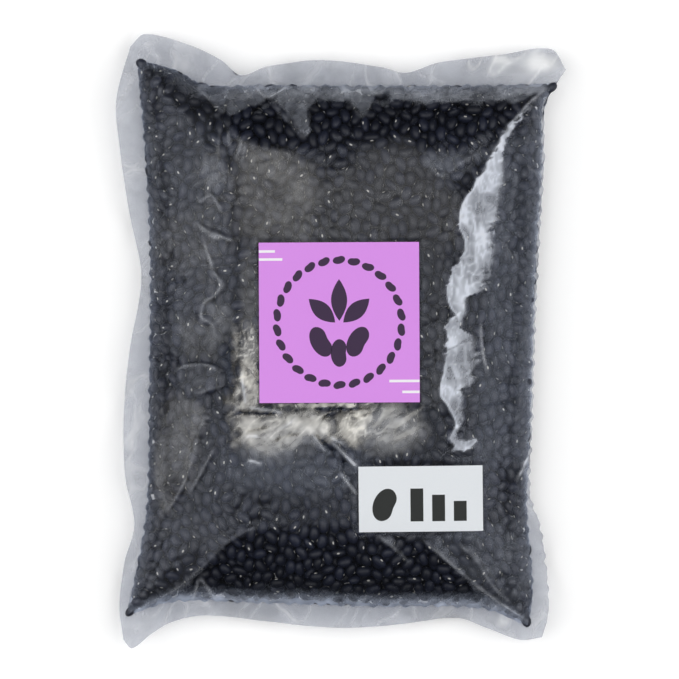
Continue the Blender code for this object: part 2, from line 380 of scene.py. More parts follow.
def read_map(height, places, cell=CELL):
    """The value of a map at any places, blended between the four nearest cells."""
    column, row = np.moveaxis((places - MAP_LOW) / cell - 0.5, -1, 0)
    column = np.clip(column, 0, height.shape[1] - 1.001)
    row = np.clip(row, 0, height.shape[0] - 1.001)
    c, r = column.astype(int), row.astype(int)
    across, along = column - c, row - r
    low = height[r, c] * (1 - across) + height[r, c + 1] * across
    high = height[r + 1, c] * (1 - across) + height[r + 1, c + 1] * across
    return low * (1 - along) + high * along


def under_ball(height, radius):
    """How high a ball's centre can be under a height map: the lowest, over the ball's width, of the
    map less the ball's own height there."""
    reach = int(radius / CELL)
    result = np.full_like(height, np.inf)
    for row in range(-reach, reach + 1):
        for column in range(-reach, reach + 1):
            square = radius**2 - (row**2 + column**2) * CELL**2
            if square >= 0:
                moved = np.roll(height, (row, column), (0, 1)) - np.sqrt(square)
                np.minimum(result, moved, out=result)
    return result


u_fine, v_fine = np.linspace(0, 1, 700)[None, :], np.linspace(0, 1, 900)[:, None]
places_fine = bag_point(u_fine, v_fine)
FRONT_MAP = map_of(places_fine, front_height(u_fine, v_fine), SEAL_HEIGHT)
BACK_MAP = map_of(places_fine, back_height(u_fine, v_fine), SEAL_HEIGHT)
print("map:", MAP_SHAPE, "litres:", round(float((FRONT_MAP - BACK_MAP).sum()) * CELL**2 * 1000, 2))

# %% [markdown]
# ## Pouring the beans
#
# Thousands of rigid bodies would take minutes to settle, and only the beans against the film can be
# seen. So three shells of beans are spread out instead: one under the front film, one below it that
# fills the gaps, and one on the back film. For contact a bean is three balls in a row. In each
# round, balls that overlap push each other apart, each shell is drawn to its film, and no ball may
# leave the bag.

# %% Where the beans start
BEAN_LENGTH, BEAN_WIDTH, BEAN_THICKNESS = 0.0095, 0.0071, 0.0058
BALL_RADIUS = np.array([0.0029, 0.0033, 0.0029])
BALL_SPOT = np.array([-0.00185, 0.0, 0.00185])
BALL = 0.0030
SECOND_DEPTH = 0.0080
rng = np.random.default_rng(21)

CEILING = under_ball(FRONT_MAP, BALL)
FLOOR = -under_ball(-BACK_MAP, BALL)
SECOND = under_ball(FRONT_MAP, SECOND_DEPTH)
ROOM = CEILING - FLOOR


def even_spread(count, offset):
    """Shares that fill a square evenly: multiples of two irrational steps, less their whole parts."""
    golden = 1.32471795724
    return (offset + np.arange(1, count + 1)[:, None] * np.array([1 / golden, 1 / golden**2])) % 1


def seeds(guide, spacing, inside, offset):
    """Places that cover a map's surface evenly: one per spacing squared in plan, and more on slopes,
    where a square of plan holds more film."""
    size = np.array(MAP_SHAPE[::-1]) * CELL
    plan = MAP_LOW + even_spread(int(size.prod() / spacing**2), offset) * size
    extra = MAP_LOW + even_spread(int(3 * size.prod() / spacing**2), offset + 0.37) * size
    slope_y, slope_x = np.gradient(guide, CELL)
    stretch = np.sqrt(1 + read_map(slope_x, extra) ** 2 + read_map(slope_y, extra) ** 2)
    extra = extra[rng.random(len(extra)) < np.minimum(stretch - 1, 3) / 3]
    places = np.concatenate([plan, extra])
    places = places[read_map(inside, places) > 0]
    return np.column_stack([places, read_map(guide, places)])


FRONT_SPACING, SECOND_SPACING, BACK_SPACING = 0.0078, 0.0084, 0.0083
shells = [seeds(CEILING, FRONT_SPACING, ROOM, 0.5), seeds(SECOND, SECOND_SPACING, ROOM - 0.007, 0.1),
          seeds(FLOOR, BACK_SPACING, ROOM - 0.002, 0.8)]
shell_of = np.repeat(np.arange(3), [len(shell) for shell in shells])
centres = np.concatenate(shells)
BEANS = len(centres)
print("beans in each shell:", np.bincount(shell_of))

# %% Bean sizes and directions, as shares of the sizes above
turns = rng.uniform(0, 2 * np.pi, BEANS)
axes = np.column_stack([np.cos(turns), np.sin(turns), rng.normal(0, 0.12, BEANS)])
axes /= np.linalg.norm(axes, axis=1, keepdims=True)
lengths = np.clip(rng.normal(1.0, 0.075, BEANS), 0.82, 1.18)
widths = np.clip(rng.normal(1.0, 0.055, BEANS), 0.86, 1.12)
print("bean lengths in mm:", np.round(1000 * BEAN_LENGTH * np.percentile(lengths, [5, 50, 95]), 1))

# %% Push them apart


def neighbour_pairs(points, reach):
    """Pairs nearer than reach. Each point goes into a cubic cell of that size, cells are numbered and
    sorted, and each point looks up its own cell and 13 of the 26 around it, which finds every pair
    once."""
    cells = np.floor((points - points.min(axis=0)) / reach).astype(np.int64) + 1
    strides = np.array([1, cells[:, 0].max() + 2, (cells[:, 0].max() + 2) * (cells[:, 1].max() + 2)])
    key = cells @ strides
    order = np.argsort(key, kind="stable")
    ranked = key[order]
    around = np.stack(np.meshgrid([-1, 0, 1], [-1, 0, 1], [-1, 0, 1]), -1).reshape(-1, 3)
    steps = [step for step in around.tolist() if step[::-1] >= [0, 0, 0]]
    firsts, seconds = [], []
    for step in steps:
        target = key + np.dot(step, strides)
        start = np.searchsorted(ranked, target, "left")
        count = np.searchsorted(ranked, target, "right") - start
        first = np.repeat(np.arange(len(points)), count)
        place = np.arange(count.sum()) - np.repeat(np.cumsum(count) - count, count)
        second = order[place + np.repeat(start, count)]
        keep = first < second if not any(step) else np.full(len(first), True)
        firsts.append(first[keep])
        seconds.append(second[keep])
    first, second = np.concatenate(firsts), np.concatenate(seconds)
    near = np.linalg.norm(points[first] - points[second], axis=1) < reach
    return first[near], second[near]


def summed(index, vectors, count):
    """The sum of the vectors that share an index."""
    return np.stack([np.bincount(index, vectors[:, k], minlength=count) for k in range(3)], axis=1)


def slopes_of(height):
    """A map with its two slopes, so that balls can be pushed square to its surface."""
    slope_y, slope_x = np.gradient(height, CELL)
    return height, slope_x, slope_y


def square_move(surface, balls):
    """For each ball, how far it is above a surface, and the step square to the surface per metre."""
    height, slope_x, slope_y = (read_map(part, balls[..., :2]) for part in surface)
    normal = np.stack([-slope_x, -slope_y, np.ones_like(slope_x)], axis=-1)
    steep = np.linalg.norm(normal, axis=-1, keepdims=True)
    return ((balls[..., 2] - height) / steep[..., 0])[..., None], normal / steep


def balls_of(index):
    """The numbers of the three balls of each bean in a list."""
    return (3 * index[:, None] + np.arange(3)).ravel()


def ball_places(centres, axes):
    """The middles of each bean's three balls, as (bean, ball, xyz)."""
    return centres[:, None] + (BALL_SPOT * lengths[:, None])[..., None] * axes[:, None]


def into_room(balls, lack):
    """Steps in plan that give each ball the room it lacks: the lack over the slope of the bag's room."""
    _, slope_x, slope_y = (read_map(part, balls[..., :2]) for part in ROOM_SLOPES)
    slope = np.stack([slope_x, slope_y, np.zeros_like(slope_x)], axis=-1)
    return lack[..., None] * slope / np.maximum((slope**2).sum(axis=-1, keepdims=True), 1.0)


GUIDES = [slopes_of(CEILING), slopes_of(SECOND), slopes_of(FLOOR)]
ROOM_SLOPES = slopes_of(ROOM)
PAIR_REACH = 1.25 * BEAN_LENGTH
STEP_SHARE, STEP_LIMIT = 0.72, 0.0012
TURN_SHARE, TURN_LIMIT = 0.5, 0.15


def settle(centres, axes, rounds, pull):
    """Rounds of pushing balls apart, drawing shells to their guides and keeping all inside. A bean
    moves by a share of its balls' mean step, and turns by their steps times their levers."""
    radii = BALL_RADIUS * widths[:, None]
    for turn in range(rounds):
        if turn % 4 == 0:
            first, second = neighbour_pairs(centres, PAIR_REACH)
        balls = ball_places(centres, axes)
        apart = balls[first][:, :, None] - balls[second][:, None, :]
        distance = np.linalg.norm(apart, axis=-1)
        overlap = np.maximum(radii[first][:, :, None] + radii[second][:, None, :] - distance, 0)
        push = apart * (0.5 * overlap / np.maximum(distance, 1e-6))[..., None]
        moves = summed(balls_of(first), push.sum(axis=2).reshape(-1, 3), 3 * BEANS)
        moves = moves - summed(balls_of(second), push.sum(axis=1).reshape(-1, 3), 3 * BEANS)
        moves = moves.reshape(BEANS, 3, 3)
        for shell, guide in enumerate(GUIDES):
            mine = shell_of == shell
            over, normal = square_move(guide, balls[mine])
            strength = np.where(over > 0, 1.0, pull) if shell < 2 else np.where(over < 0, 1.0, pull)
            moves[mine] -= strength * over * normal
        moves += into_room(balls, np.maximum(-read_map(ROOM, balls[..., :2]), 0))
        step = STEP_SHARE * moves.mean(axis=1)
        size = np.linalg.norm(step, axis=1, keepdims=True)
        centres = centres + step * np.minimum(1, STEP_LIMIT / np.maximum(size, 1e-9))
        lever = (BALL_SPOT[None, :, None] * moves).sum(axis=1) / (BALL_SPOT**2).sum()
        axes = axes + np.clip(TURN_SHARE * lever, -TURN_LIMIT, TURN_LIMIT)
        axes /= np.linalg.norm(axes, axis=1, keepdims=True)
    depth = 1e6 * overlap[overlap > 0].mean()
    print(f"after {rounds} rounds: {len(first)} pairs, mean overlap {depth:.0f} um")
    return centres, axes


centres, axes = settle(centres, axes, 90, 0.25)
centres, axes = settle(centres, axes, 50, 0.08)

# %% [markdown]
# ## The seal and the corner tips
#
# After the last round a few beans still stand out at the seal, pushed there by their neighbours. So
# each is drawn back by the ball that is worst off, with no more pushing. The tips of the corners are
# too narrow for the spread to reach. A real bag has beans in them all the same, because they slide
# in one by one, so two beans go into each tip, in line with its middle.

# %% Draw in the beans that still stand out at the seal
LACK_ALLOWED = 0.0005


def pulled_in(centres, rounds=10):
    """Beans moved along the slope of the bag's room, by the ball that lacks most of it."""
    for _ in range(rounds):
        balls = ball_places(centres, axes)
        lack = np.maximum(-read_map(ROOM, balls[..., :2]), 0)
        centres = centres + into_room(balls, lack)[np.arange(BEANS), lack.argmax(axis=1)]
    print("beans that still lack room:", int((lack.max(axis=1) > LACK_ALLOWED).sum()))
    return centres


centres = pulled_in(centres)

# %% Beans in the corner tips
TIP_STEPS = (0.0046, 0.0105)
TIP_RISE = 0.0008
TIP_LOOK = 0.025
TIP_SIZE = 0.92


def tip_directions():
    """The four tips of the seal, and the middle direction between the two sides that leave each."""
    tips, inward = [], []
    for name in ("bottom_left", "bottom_right", "top_left", "top_right"):
        tip = np.array(SEAL[name]) + HOME
        sides = [side for side, ends in ENDS.items() if name in ends]
        nearby = [side_curve(SEAL, side, SHARES) - tip for side in sides]
        ways = [line[np.abs(np.linalg.norm(line, axis=1) - TIP_LOOK).argmin()] for line in nearby]
        middle = sum(way / np.linalg.norm(way) for way in ways)
        tips.append(tip)
        inward.append(middle / np.linalg.norm(middle))
    return np.array(tips), np.array(inward)


TIPS, INWARD = tip_directions()
TIP_PLAN = np.concatenate([TIPS + step * INWARD for step in TIP_STEPS])
TIP_BEANS = len(TIP_PLAN)
tip_centres = np.column_stack([TIP_PLAN, np.full(TIP_BEANS, SEAL_HEIGHT + TIP_RISE)])
tip_axes = np.column_stack([np.tile(INWARD, (len(TIP_STEPS), 1)), np.zeros(TIP_BEANS)])
centres, axes = np.concatenate([centres, tip_centres]), np.concatenate([axes, tip_axes])
lengths = np.concatenate([lengths, np.full(TIP_BEANS, TIP_SIZE)])
widths = np.concatenate([widths, np.full(TIP_BEANS, TIP_SIZE)])
shell_of = np.concatenate([shell_of, np.zeros(TIP_BEANS, int)])
IN_TIPS = np.arange(len(centres)) >= BEANS
BEANS = len(centres)
print("beans:", BEANS, "of which in the tips:", int(IN_TIPS.sum()))

# %% [markdown]
# ## One bean, and then all of them
#
# A black bean is a plump oval, bent a little towards the side that held it to the pod and thinner
# than it is wide. Its grid has six rings of eight points, which is enough at this size when it is
# shaded smooth. A finer one would cost a million triangles for the whole bag.

# %% Bean shape
RINGS, AROUND = 6, 8
PLUMPNESS = 0.86
BEND = 0.00055


def bean_grid():
    """Points of a bean of length 1, width 1 and thickness 1, pole to pole along x. The radius is the
    sine of the angle from the pole, to a power under one, so that the ends are blunt."""
    from_pole = np.pi * np.arange(1, RINGS + 1) / (RINGS + 1)
    round_it = 2 * np.pi * (np.arange(AROUND) + 0.5) / AROUND
    radius = np.sin(from_pole)[:, None] ** PLUMPNESS
    x = np.broadcast_to(-np.cos(from_pole)[:, None], (RINGS, AROUND))
    rings = np.stack([x, radius * np.cos(round_it), radius * np.sin(round_it)], axis=-1)
    return 0.5 * np.concatenate([rings.reshape(-1, 3), [[-1, 0, 0], [1, 0, 0]]])


def bean_faces():
    """Quads between rings, and a fan of triangles at each pole, all pointing outwards."""
    index = np.arange(RINGS * AROUND).reshape(RINGS, AROUND)
    after = np.roll(index, -1, axis=1)
    quads = np.stack([index[:-1], index[1:], after[1:], after[:-1]], axis=-1).reshape(-1, 4)[:, ::-1]
    near, far = RINGS * AROUND, RINGS * AROUND + 1
    fans = np.concatenate([
        np.stack([np.full(AROUND, near), index[0], after[0]], axis=-1)[:, ::-1],
        np.stack([np.full(AROUND, far), after[-1], index[-1]], axis=-1)[:, ::-1],
    ])
    return quads, fans


def bean_halves():
    """Half of each bean's length, width and thickness, as (bean, 3)."""
    return 0.5 * np.stack([BEAN_LENGTH * lengths, BEAN_WIDTH * widths, BEAN_THICKNESS * widths], axis=1)


print("a bean's points:", len(bean_grid()), "and faces:", sum(len(block) for block in bean_faces()))

# %% How each bean lies
ON_EDGE_SHARE = 0.24
ON_EDGE_ROLL = 1.25  # radians
ROLL_SPREAD = 0.3


def bean_frames():
    """Each bean's three directions: along it, across its width, and through its thickness. The last
    starts square to the film and turns about the bean's length by the roll. Most beans lie flat
    against the film, and some have rolled onto an edge."""
    _, front_normal = square_move(GUIDES[0], centres)
    _, back_normal = square_move(GUIDES[2], centres)
    normal = np.where((shell_of == 2)[:, None], -back_normal, front_normal)
    through = normal - (normal * axes).sum(axis=1, keepdims=True) * axes
    through /= np.linalg.norm(through, axis=1, keepdims=True)
    across = np.cross(through, axes)
    on_edge = rng.random(BEANS) < ON_EDGE_SHARE
    edge_roll = rng.choice([-1, 1], BEANS) * rng.normal(ON_EDGE_ROLL, ROLL_SPREAD, BEANS)
    roll = np.where(on_edge, edge_roll, rng.normal(0, ROLL_SPREAD, BEANS))
    roll = roll + np.pi * (rng.random(BEANS) < 0.5)
    turn, lean = np.cos(roll)[:, None], np.sin(roll)[:, None]
    return axes, across * turn + through * lean, through * turn - across * lean


FRAMES = bean_frames()
on_their_edge = np.abs(FRAMES[2][:, 2]) < 0.5
print("share of beans with their thin side up:", round(float(on_their_edge.mean()), 2))

# %% Keep every bean inside the film
TUCK = 0.0002
TUCK_MOST = 0.004


def tucked_in():
    """Centres moved square to each film in turn, so that no bean stands out of the bag. An ellipsoid
    reaches as far along a direction as the root of its squared half sizes times cosines, and the
    bean's bend adds to that on its outer side."""
    half = bean_halves()
    moved = centres
    for height, way in ((BACK_MAP, -1), (FRONT_MAP, 1)):
        over, normal = square_move(slopes_of(height), moved)
        cosines = np.stack([(part * normal).sum(axis=1) for part in FRAMES], axis=1)
        reach = np.sqrt(((half * cosines) ** 2).sum(axis=1)) + BEND * np.maximum(way * cosines[:, 1], 0)
        excess = np.where(IN_TIPS, 0, np.clip(way * over[:, 0] + reach - TUCK, 0, TUCK_MOST))
        moved = moved - way * excess[:, None] * normal
    return moved


settled = centres
centres = tucked_in()
drawn_in = np.linalg.norm(centres - settled, axis=1)
mean_drawn_in = 1000 * float(drawn_in[drawn_in > 0].mean())
print("beans drawn in:", int((drawn_in > 0).sum()), "by mm:", round(mean_drawn_in, 2))

# %% [markdown]
# ## Bean skin
#
# The skin is a satin black with a cold sheen, and some beans are a little lighter than others. One
# number for each bean, stored on its points, drives that, because a noise would change in the middle
# of a bean. The sheen changes by a fine noise, as on a skin with a faint bloom.

# %% Helpers for materials


def link(tree, start, output, end, socket):
    """Joins an output of one node to an input of another."""
    tree.links.new(start.outputs[output], end.inputs[socket])


def attribute_node(tree, name):
    """A node that reads a number stored on the points."""
    node = tree.nodes.new("ShaderNodeAttribute")
    node.attribute_name = name
    return node


def store(piece, name, values):
    """Stores one number for each point of a piece."""
    layer = piece.data.attributes.new(name, "FLOAT", "POINT")
    layer.data.foreach_set("value", np.asarray(values, np.float32).ravel())


def noise_node(tree, scale, detail):
    """A noise on Object coordinates, so that it stays where it is on the piece."""
    where = tree.nodes.new("ShaderNodeTexCoord")
    noise = tree.nodes.new("ShaderNodeTexNoise")
    noise.inputs["Scale"].default_value = scale
    noise.inputs["Detail"].default_value = detail
    link(tree, where, "Object", noise, "Vector")
    return noise


def colour_mix(tree, first, second):
    """A node that mixes two colours by its factor."""
    mix = tree.nodes.new("ShaderNodeMix")
    mix.data_type = "RGBA"
    mix.inputs["A"].default_value = (*first, 1.0)
    mix.inputs["B"].default_value = (*second, 1.0)
    return mix


def link_colour(tree, mix, shader):
    """Joins a colour mix to a shader's base colour."""
    tree.links.new(mix.outputs["Result"], shader.inputs["Base Color"])


def link_shine(tree, noise, shine, shader):
    """Joins a noise to a shader's roughness: 0 to 1 is stretched to the two values of the shine."""
    finish = tree.nodes.new("ShaderNodeMapRange")
    finish.inputs["To Min"].default_value, finish.inputs["To Max"].default_value = shine
    link(tree, noise, "Fac", finish, "Value")
    link(tree, finish, "Result", shader, "Roughness")


def speckled_material(name, colour, spread, shine, scale):
    """One colour whose tone and shine wander with a fine noise, by a share of the colour either way."""
    material = plain_material(name, colour, shine[0])
    tree = material.node_tree
    shader = tree.nodes["Principled BSDF"]
    noise = noise_node(tree, scale, 3.0)
    colour = np.array(colour)
    mix = colour_mix(tree, (1 - spread) * colour, np.minimum((1 + spread) * colour, 1))
    link(tree, noise, "Fac", mix, "Factor")
    link_colour(tree, mix, shader)
    link_shine(tree, noise, shine, shader)
    return material


# %% Bean material
SKIN_DARK, SKIN_LIGHT = (0.0034, 0.0054, 0.0155), (0.0125, 0.0170, 0.0390)
SKIN_SHINE, SKIN_GRAIN = (0.42, 0.60), 420.0


def bean_material():
    """Black skin: a mix of two tones by the bean's own number, and a roughness between two values by
    a fine noise."""
    material = plain_material("bean_skin", SKIN_DARK, SKIN_SHINE[0])
    tree = material.node_tree
    shader = tree.nodes["Principled BSDF"]
    noise = noise_node(tree, SKIN_GRAIN, 2.0)
    mix = colour_mix(tree, SKIN_DARK, SKIN_LIGHT)
    link(tree, attribute_node(tree, "tone"), "Fac", mix, "Factor")
    link_colour(tree, mix, shader)
    link_shine(tree, noise, SKIN_SHINE, shader)
    return material


BEAN_SKIN = bean_material()
print("bean skin nodes:", len(BEAN_SKIN.node_tree.nodes))

# %% Put the beans in
TONES = rng.random(BEANS) ** 1.5


def placed_beans(chosen):
    """Points and faces of the chosen beans, joined into one mesh. Each point is the bean's centre plus
    its three local measures along the bean's three directions, with the bend added across."""
    shape = bean_grid()
    local = shape[None] * 2 * bean_halves()[chosen][:, None]
    local[..., 1] += BEND * (1 - 4 * shape[:, 0] ** 2)
    points = centres[chosen][:, None]
    for k, direction in enumerate(FRAMES):
        points = points + local[..., k:k + 1] * direction[chosen][:, None]
    shift = (len(shape) * np.arange(len(chosen)))[:, None, None]
    faces = [(block[None] + shift).reshape(-1, block.shape[1]) for block in bean_faces()]
    return points.reshape(-1, 3), faces


def put_beans(name, shell):
    """One shell of beans as one piece."""
    chosen = np.flatnonzero(shell_of == shell)
    points, faces = placed_beans(chosen)
    piece = put_mesh(name, points, faces, BEAN_SKIN)
    store(piece, "tone", np.repeat(TONES[chosen], len(bean_grid())))
    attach(piece, "root")


for shell, name in enumerate(("front_beans", "second_beans", "back_beans")):
    put_beans(name, shell)

# %% [markdown]
# ## The beans' eyes
#
# Each bean has a small white scar on the side that held it to the pod. From above, only beans on
# edge show theirs, so the eyes are far apart and turned every way. Each is a low dome of eight
# triangles, set on the bean's hollow side.

# %% Bean eyes
EYE_LENGTH, EYE_WIDTH, EYE_DOME = 0.0021, 0.0011, 0.00022
EYE_POINTS = 8
EYE_SINK, EYE_RIM_SINK = 0.00004, 0.00012
BEAN_EYE = speckled_material("bean_eye", (0.66, 0.65, 0.61), 0.25, (0.40, 0.60), 700.0)


def put_eyes():
    """The white scar on the middle of each bean's flatter edge: an oval of one ring and a middle."""
    ring = 2 * np.pi * np.arange(EYE_POINTS) / EYE_POINTS
    outline = 0.5 * np.column_stack([np.cos(ring), np.sin(ring)])
    _, across, through = FRAMES
    edge = BEAN_WIDTH * widths / 2 - BEND
    base = centres - across * (edge - EYE_SINK)[:, None]
    rim = (
        base[:, None]
        + (EYE_LENGTH * outline[None, :, :1]) * axes[:, None]
        + (EYE_WIDTH * outline[None, :, 1:]) * through[:, None]
        + EYE_RIM_SINK * across[:, None]
    )
    middle = (base - EYE_DOME * across)[:, None]
    points = np.concatenate([rim, middle], axis=1)
    index = np.arange(EYE_POINTS)
    fan = np.column_stack([np.full(EYE_POINTS, EYE_POINTS), index, np.roll(index, -1)])
    faces = (fan[None] + (EYE_POINTS + 1) * np.arange(BEANS)[:, None, None]).reshape(-1, 3)
    piece = put_mesh("bean_eyes", points.reshape(-1, 3), faces, BEAN_EYE)
    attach(piece, "root")


put_eyes()

# %% [markdown]
# ## The dark heart of the bag
#
# Behind the two shells of beans lies a plain dark body, so that the few gaps show more darkness and
# not the table. It is the same pillow, drawn in on all sides.

# %% Closed slabs


def grid_faces(rows, columns):
    """Quads of a grid of points, counter-clockwise when rows run up and columns run right."""
    index = np.arange(rows * columns).reshape(rows, columns)
    corners = (index[:-1, :-1], index[:-1, 1:], index[1:, 1:], index[1:, :-1])
    return np.stack(corners, axis=-1).reshape(-1, 4)


def slab(top, bottom):
    """Points and faces of a closed slab: a top grid, a bottom grid turned over, and a wall of quads
    between their rims. Both grids are (rows, columns, xyz)."""
    rows, columns = top.shape[:2]
    index = np.arange(rows * columns).reshape(rows, columns)
    rim = np.concatenate([index[0, :-1], index[:-1, -1], index[-1, :0:-1], index[:0:-1, 0]])
    below = rim + rows * columns
    wall = np.column_stack([rim, below, np.roll(below, -1), np.roll(rim, -1)])
    faces = grid_faces(rows, columns)
    points = np.concatenate([top.reshape(-1, 3), bottom.reshape(-1, 3)])
    return points, np.concatenate([faces, faces[:, ::-1] + rows * columns, wall])


# %% Core
CORE_DEPTH = 0.0105
CORE_INSET = 0.06
CORE_ACROSS, CORE_ALONG = 70, 90
CORE_THINNEST = 0.0004


def put_core():
    """A slab between the front map and the back map, each drawn in by a ball of the core's depth."""
    u = np.linspace(CORE_INSET, 1 - CORE_INSET, CORE_ACROSS)[None, :]
    v = np.linspace(CORE_INSET, 1 - CORE_INSET, CORE_ALONG)[:, None]
    places = bag_point(u, v)
    high = read_map(under_ball(FRONT_MAP, CORE_DEPTH), places)
    low = read_map(-under_ball(-BACK_MAP, CORE_DEPTH), places)
    middle = (read_map(FRONT_MAP, places) + read_map(BACK_MAP, places)) / 2
    high = np.maximum(high, middle + CORE_THINNEST)
    low = np.minimum(low, middle - CORE_THINNEST)
    points, faces = slab(np.dstack([places, high]), np.dstack([places, low]))
    piece = put_mesh("dark_heart", points, faces, BEAN_SKIN)
    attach(piece, "root")


put_core()

# %% [markdown]
# ## Drawing the film over the beans
#
# The film is drawn tight by the seal and sags between beans. On a fine height map this is a
# membrane over obstacles: again and again each cell takes the mean of its four neighbours, but
# never less than the top of the bean under it. A few rounds give film that clings to each bean, many
# rounds give film that only touches the highest.

# %% The tops of the beans
FILM_CELL = 0.0006
BEAN_REACH = 0.0062
FILM_SHAPE = tuple(np.ceil((BAG_HIGH[:2] - BAG_LOW[:2] + 2 * MAP_MARGIN) / FILM_CELL).astype(int)[::-1])


def bean_tops(chosen, start):
    """The highest bean over each cell. A bean is taken as an ellipsoid, moved by half of its bend, and
    its top over a cell is the upper root of its quadratic."""
    reach = np.arange(-int(BEAN_REACH / FILM_CELL), int(BEAN_REACH / FILM_CELL) + 1)
    steps = np.stack(np.meshgrid(reach, reach), -1).reshape(-1, 2)
    middle = (centres + BEND / 2 * FRAMES[1])[chosen]
    cell = np.floor((middle[:, :2] - MAP_LOW) / FILM_CELL).astype(int)[:, None] + steps
    offset = MAP_LOW + (cell + 0.5) * FILM_CELL - middle[:, None, :2]
    turned = np.stack([part[chosen] for part in FRAMES], axis=1) / bean_halves()[chosen][:, :, None]
    form = np.einsum("nki,nkj->nij", turned, turned)
    linear = form[:, None, 0, 2] * offset[..., 0] + form[:, None, 1, 2] * offset[..., 1]
    plan = (
        form[:, None, 0, 0] * offset[..., 0] ** 2
        + 2 * form[:, None, 0, 1] * offset[..., 0] * offset[..., 1]
        + form[:, None, 1, 1] * offset[..., 1] ** 2
        - 1
    )
    depth = form[:, None, 2, 2]
    inside = linear**2 - depth * plan
    hit = inside > 0
    top = middle[:, None, 2] + (-linear + np.sqrt(np.maximum(inside, 0))) / depth
    tops = start.copy()
    np.maximum.at(tops, (cell[..., 1][hit], cell[..., 0][hit]), top[hit])
    return tops


FILM_BASE = map_of(places_fine, front_height(u_fine, v_fine), SEAL_HEIGHT, FILM_CELL, FILM_SHAPE)
INSIDE = map_of(places_fine, np.ones(places_fine.shape[:2]), 0.0, FILM_CELL, FILM_SHAPE) > 0
BARE_DEPTH, BARE_AT_SEAL = 0.008, 0.002
bare = np.maximum(FILM_BASE - BARE_DEPTH, SEAL_HEIGHT - BARE_AT_SEAL)
TOPS = bean_tops(np.flatnonzero(shell_of < 2), np.where(INSIDE, bare, SEAL_HEIGHT))
print("film map:", FILM_SHAPE, "highest bean in mm:", round(1000 * float(TOPS.max()), 1))

# %% The membrane


def stretched(tops, rounds):
    """The membrane after some rounds: the mean of the four neighbours, but never under the tops."""
    film = tops.copy()
    for _ in range(rounds):
        mean = sum(np.roll(film, step, axis) for axis in (0, 1) for step in (1, -1)) / 4
        film = np.where(INSIDE, np.maximum(tops, mean), SEAL_HEIGHT)
    return film


CLING_ROUNDS, TAUT_ROUNDS = 14, 160
CLINGING, TAUT = stretched(TOPS, CLING_ROUNDS), stretched(TOPS, TAUT_ROUNDS)
gaps = [1000 * float((film - TOPS)[INSIDE].mean()) for film in (CLINGING, TAUT)]
print("mean gap over the beans in mm, clinging and taut:", np.round(gaps, 2))

# %% [markdown]
# ## Where the film lifts, folds and crumples
#
# Film that is slack doesn't follow the beans. It stands off them in smooth swells, gathers into
# long folds beside the stickers, and crumples finely where it was handled. Each of these is a
# height to add, written as a function of the place: swells are smooth noise, a fold is a tent
# profile of the distance from a given path, and crumpling is ridged noise inside a soft zone.
# Film that is stretched or lifted also looks milky, so most of these add milk as well as height.
# Crests and crumples add painted highlights to that milk, and some creases painted dark lines.

# %% Soft noise


def lattice_noise(places, size, seed, turn=0.0, stretch=1.0):
    """Smooth noise from -1 to 1. A square lattice of random numbers is blended by the curve
    6t^5 - 15t^4 + 10t^3. size is the lattice's step, and stretch lengthens it along the turn."""
    table = np.random.default_rng(seed).uniform(-1, 1, (256, 256))
    cos, sin = np.cos(np.radians(turn)), np.sin(np.radians(turn))
    along = (places[..., 0] * cos + places[..., 1] * sin) / (size * stretch) + 128
    across = (places[..., 1] * cos - places[..., 0] * sin) / size + 128
    i, j = np.floor(along).astype(int), np.floor(across).astype(int)
    s, t = along - i, across - j
    s, t = (k**3 * (6 * k**2 - 15 * k + 10) for k in (s, t))
    near = table[i % 256, j % 256] * (1 - s) + table[(i + 1) % 256, j % 256] * s
    far = table[i % 256, (j + 1) % 256] * (1 - s) + table[(i + 1) % 256, (j + 1) % 256] * s
    return near * (1 - t) + far * t


def ridges(places, size, seed, turn, stretch, sharpness=3):
    """Thin crooked ridges from 0 to 1: one less the size of a smooth noise, to a power. A second
    noise bends the places first, so that the ridges aren't straight."""
    bend = [lattice_noise(places, 2.2 * size, seed + k) for k in (1, 2)]
    bent = places + 0.7 * size * np.stack(bend, axis=-1)
    return (1 - np.abs(lattice_noise(bent, size, seed, turn, stretch))) ** sharpness


noise_sample = ridges(places_fine[::20, ::20], 0.008, 1, 0.0, 1.0)
print("ridges run from", round(float(noise_sample.min()), 2), "to", round(float(noise_sample.max()), 2))

# %% [markdown]
# ## Patches of milk
#
# Where slack film hangs off the beans it looks like thin smoke, in patches with soft uneven edges.
# Each patch is a closed outline, with how soft its edge is, how milky it is and how warm. A negative
# one clears the film. Two long bands, near the top and the bottom, are clear: there the film lies
# tight on the beans and they show black. Next to the large sticker the patches are brightest: there
# they are partly milk and partly a painted warm reflection of the shiny film.

# %% Soft patches


def distance_inside(places, outline):
    """How far a place is inside a closed outline, negative outside. The distance is the least to any
    edge, and a place is inside if a line from it crosses the outline an odd number of times."""
    start, end = outline, np.roll(outline, -1, axis=0)
    edge = end - start
    away = places[..., None, :] - start
    along = np.clip((away * edge).sum(axis=-1) / (edge**2).sum(axis=-1), 0, 1)
    gap = np.linalg.norm(away - along[..., None] * edge, axis=-1).min(axis=-1)
    level = places[..., 1, None]
    rise = np.where(edge[:, 1] == 0, 1e-9, edge[:, 1])
    spans = (start[:, 1] > level) != (end[:, 1] > level)
    crossed = spans & (away[..., 0] < edge[:, 0] * away[..., 1] / rise)
    return np.where(crossed.sum(axis=-1) % 2 == 1, gap, -gap)


def patch(places, outline, soft, wobble=1.5):
    """1 inside an outline in mm and 0 outside, over a soft edge that noise makes uneven."""
    uneven = lattice_noise(places, 0.006, 17) + 0.5 * lattice_noise(places, 0.0025, 18)
    inside = distance_inside(places, np.array(outline) / 1000) + wobble / 1000 * uneven
    return smooth_step(0.5 + inside / (soft / 1000))


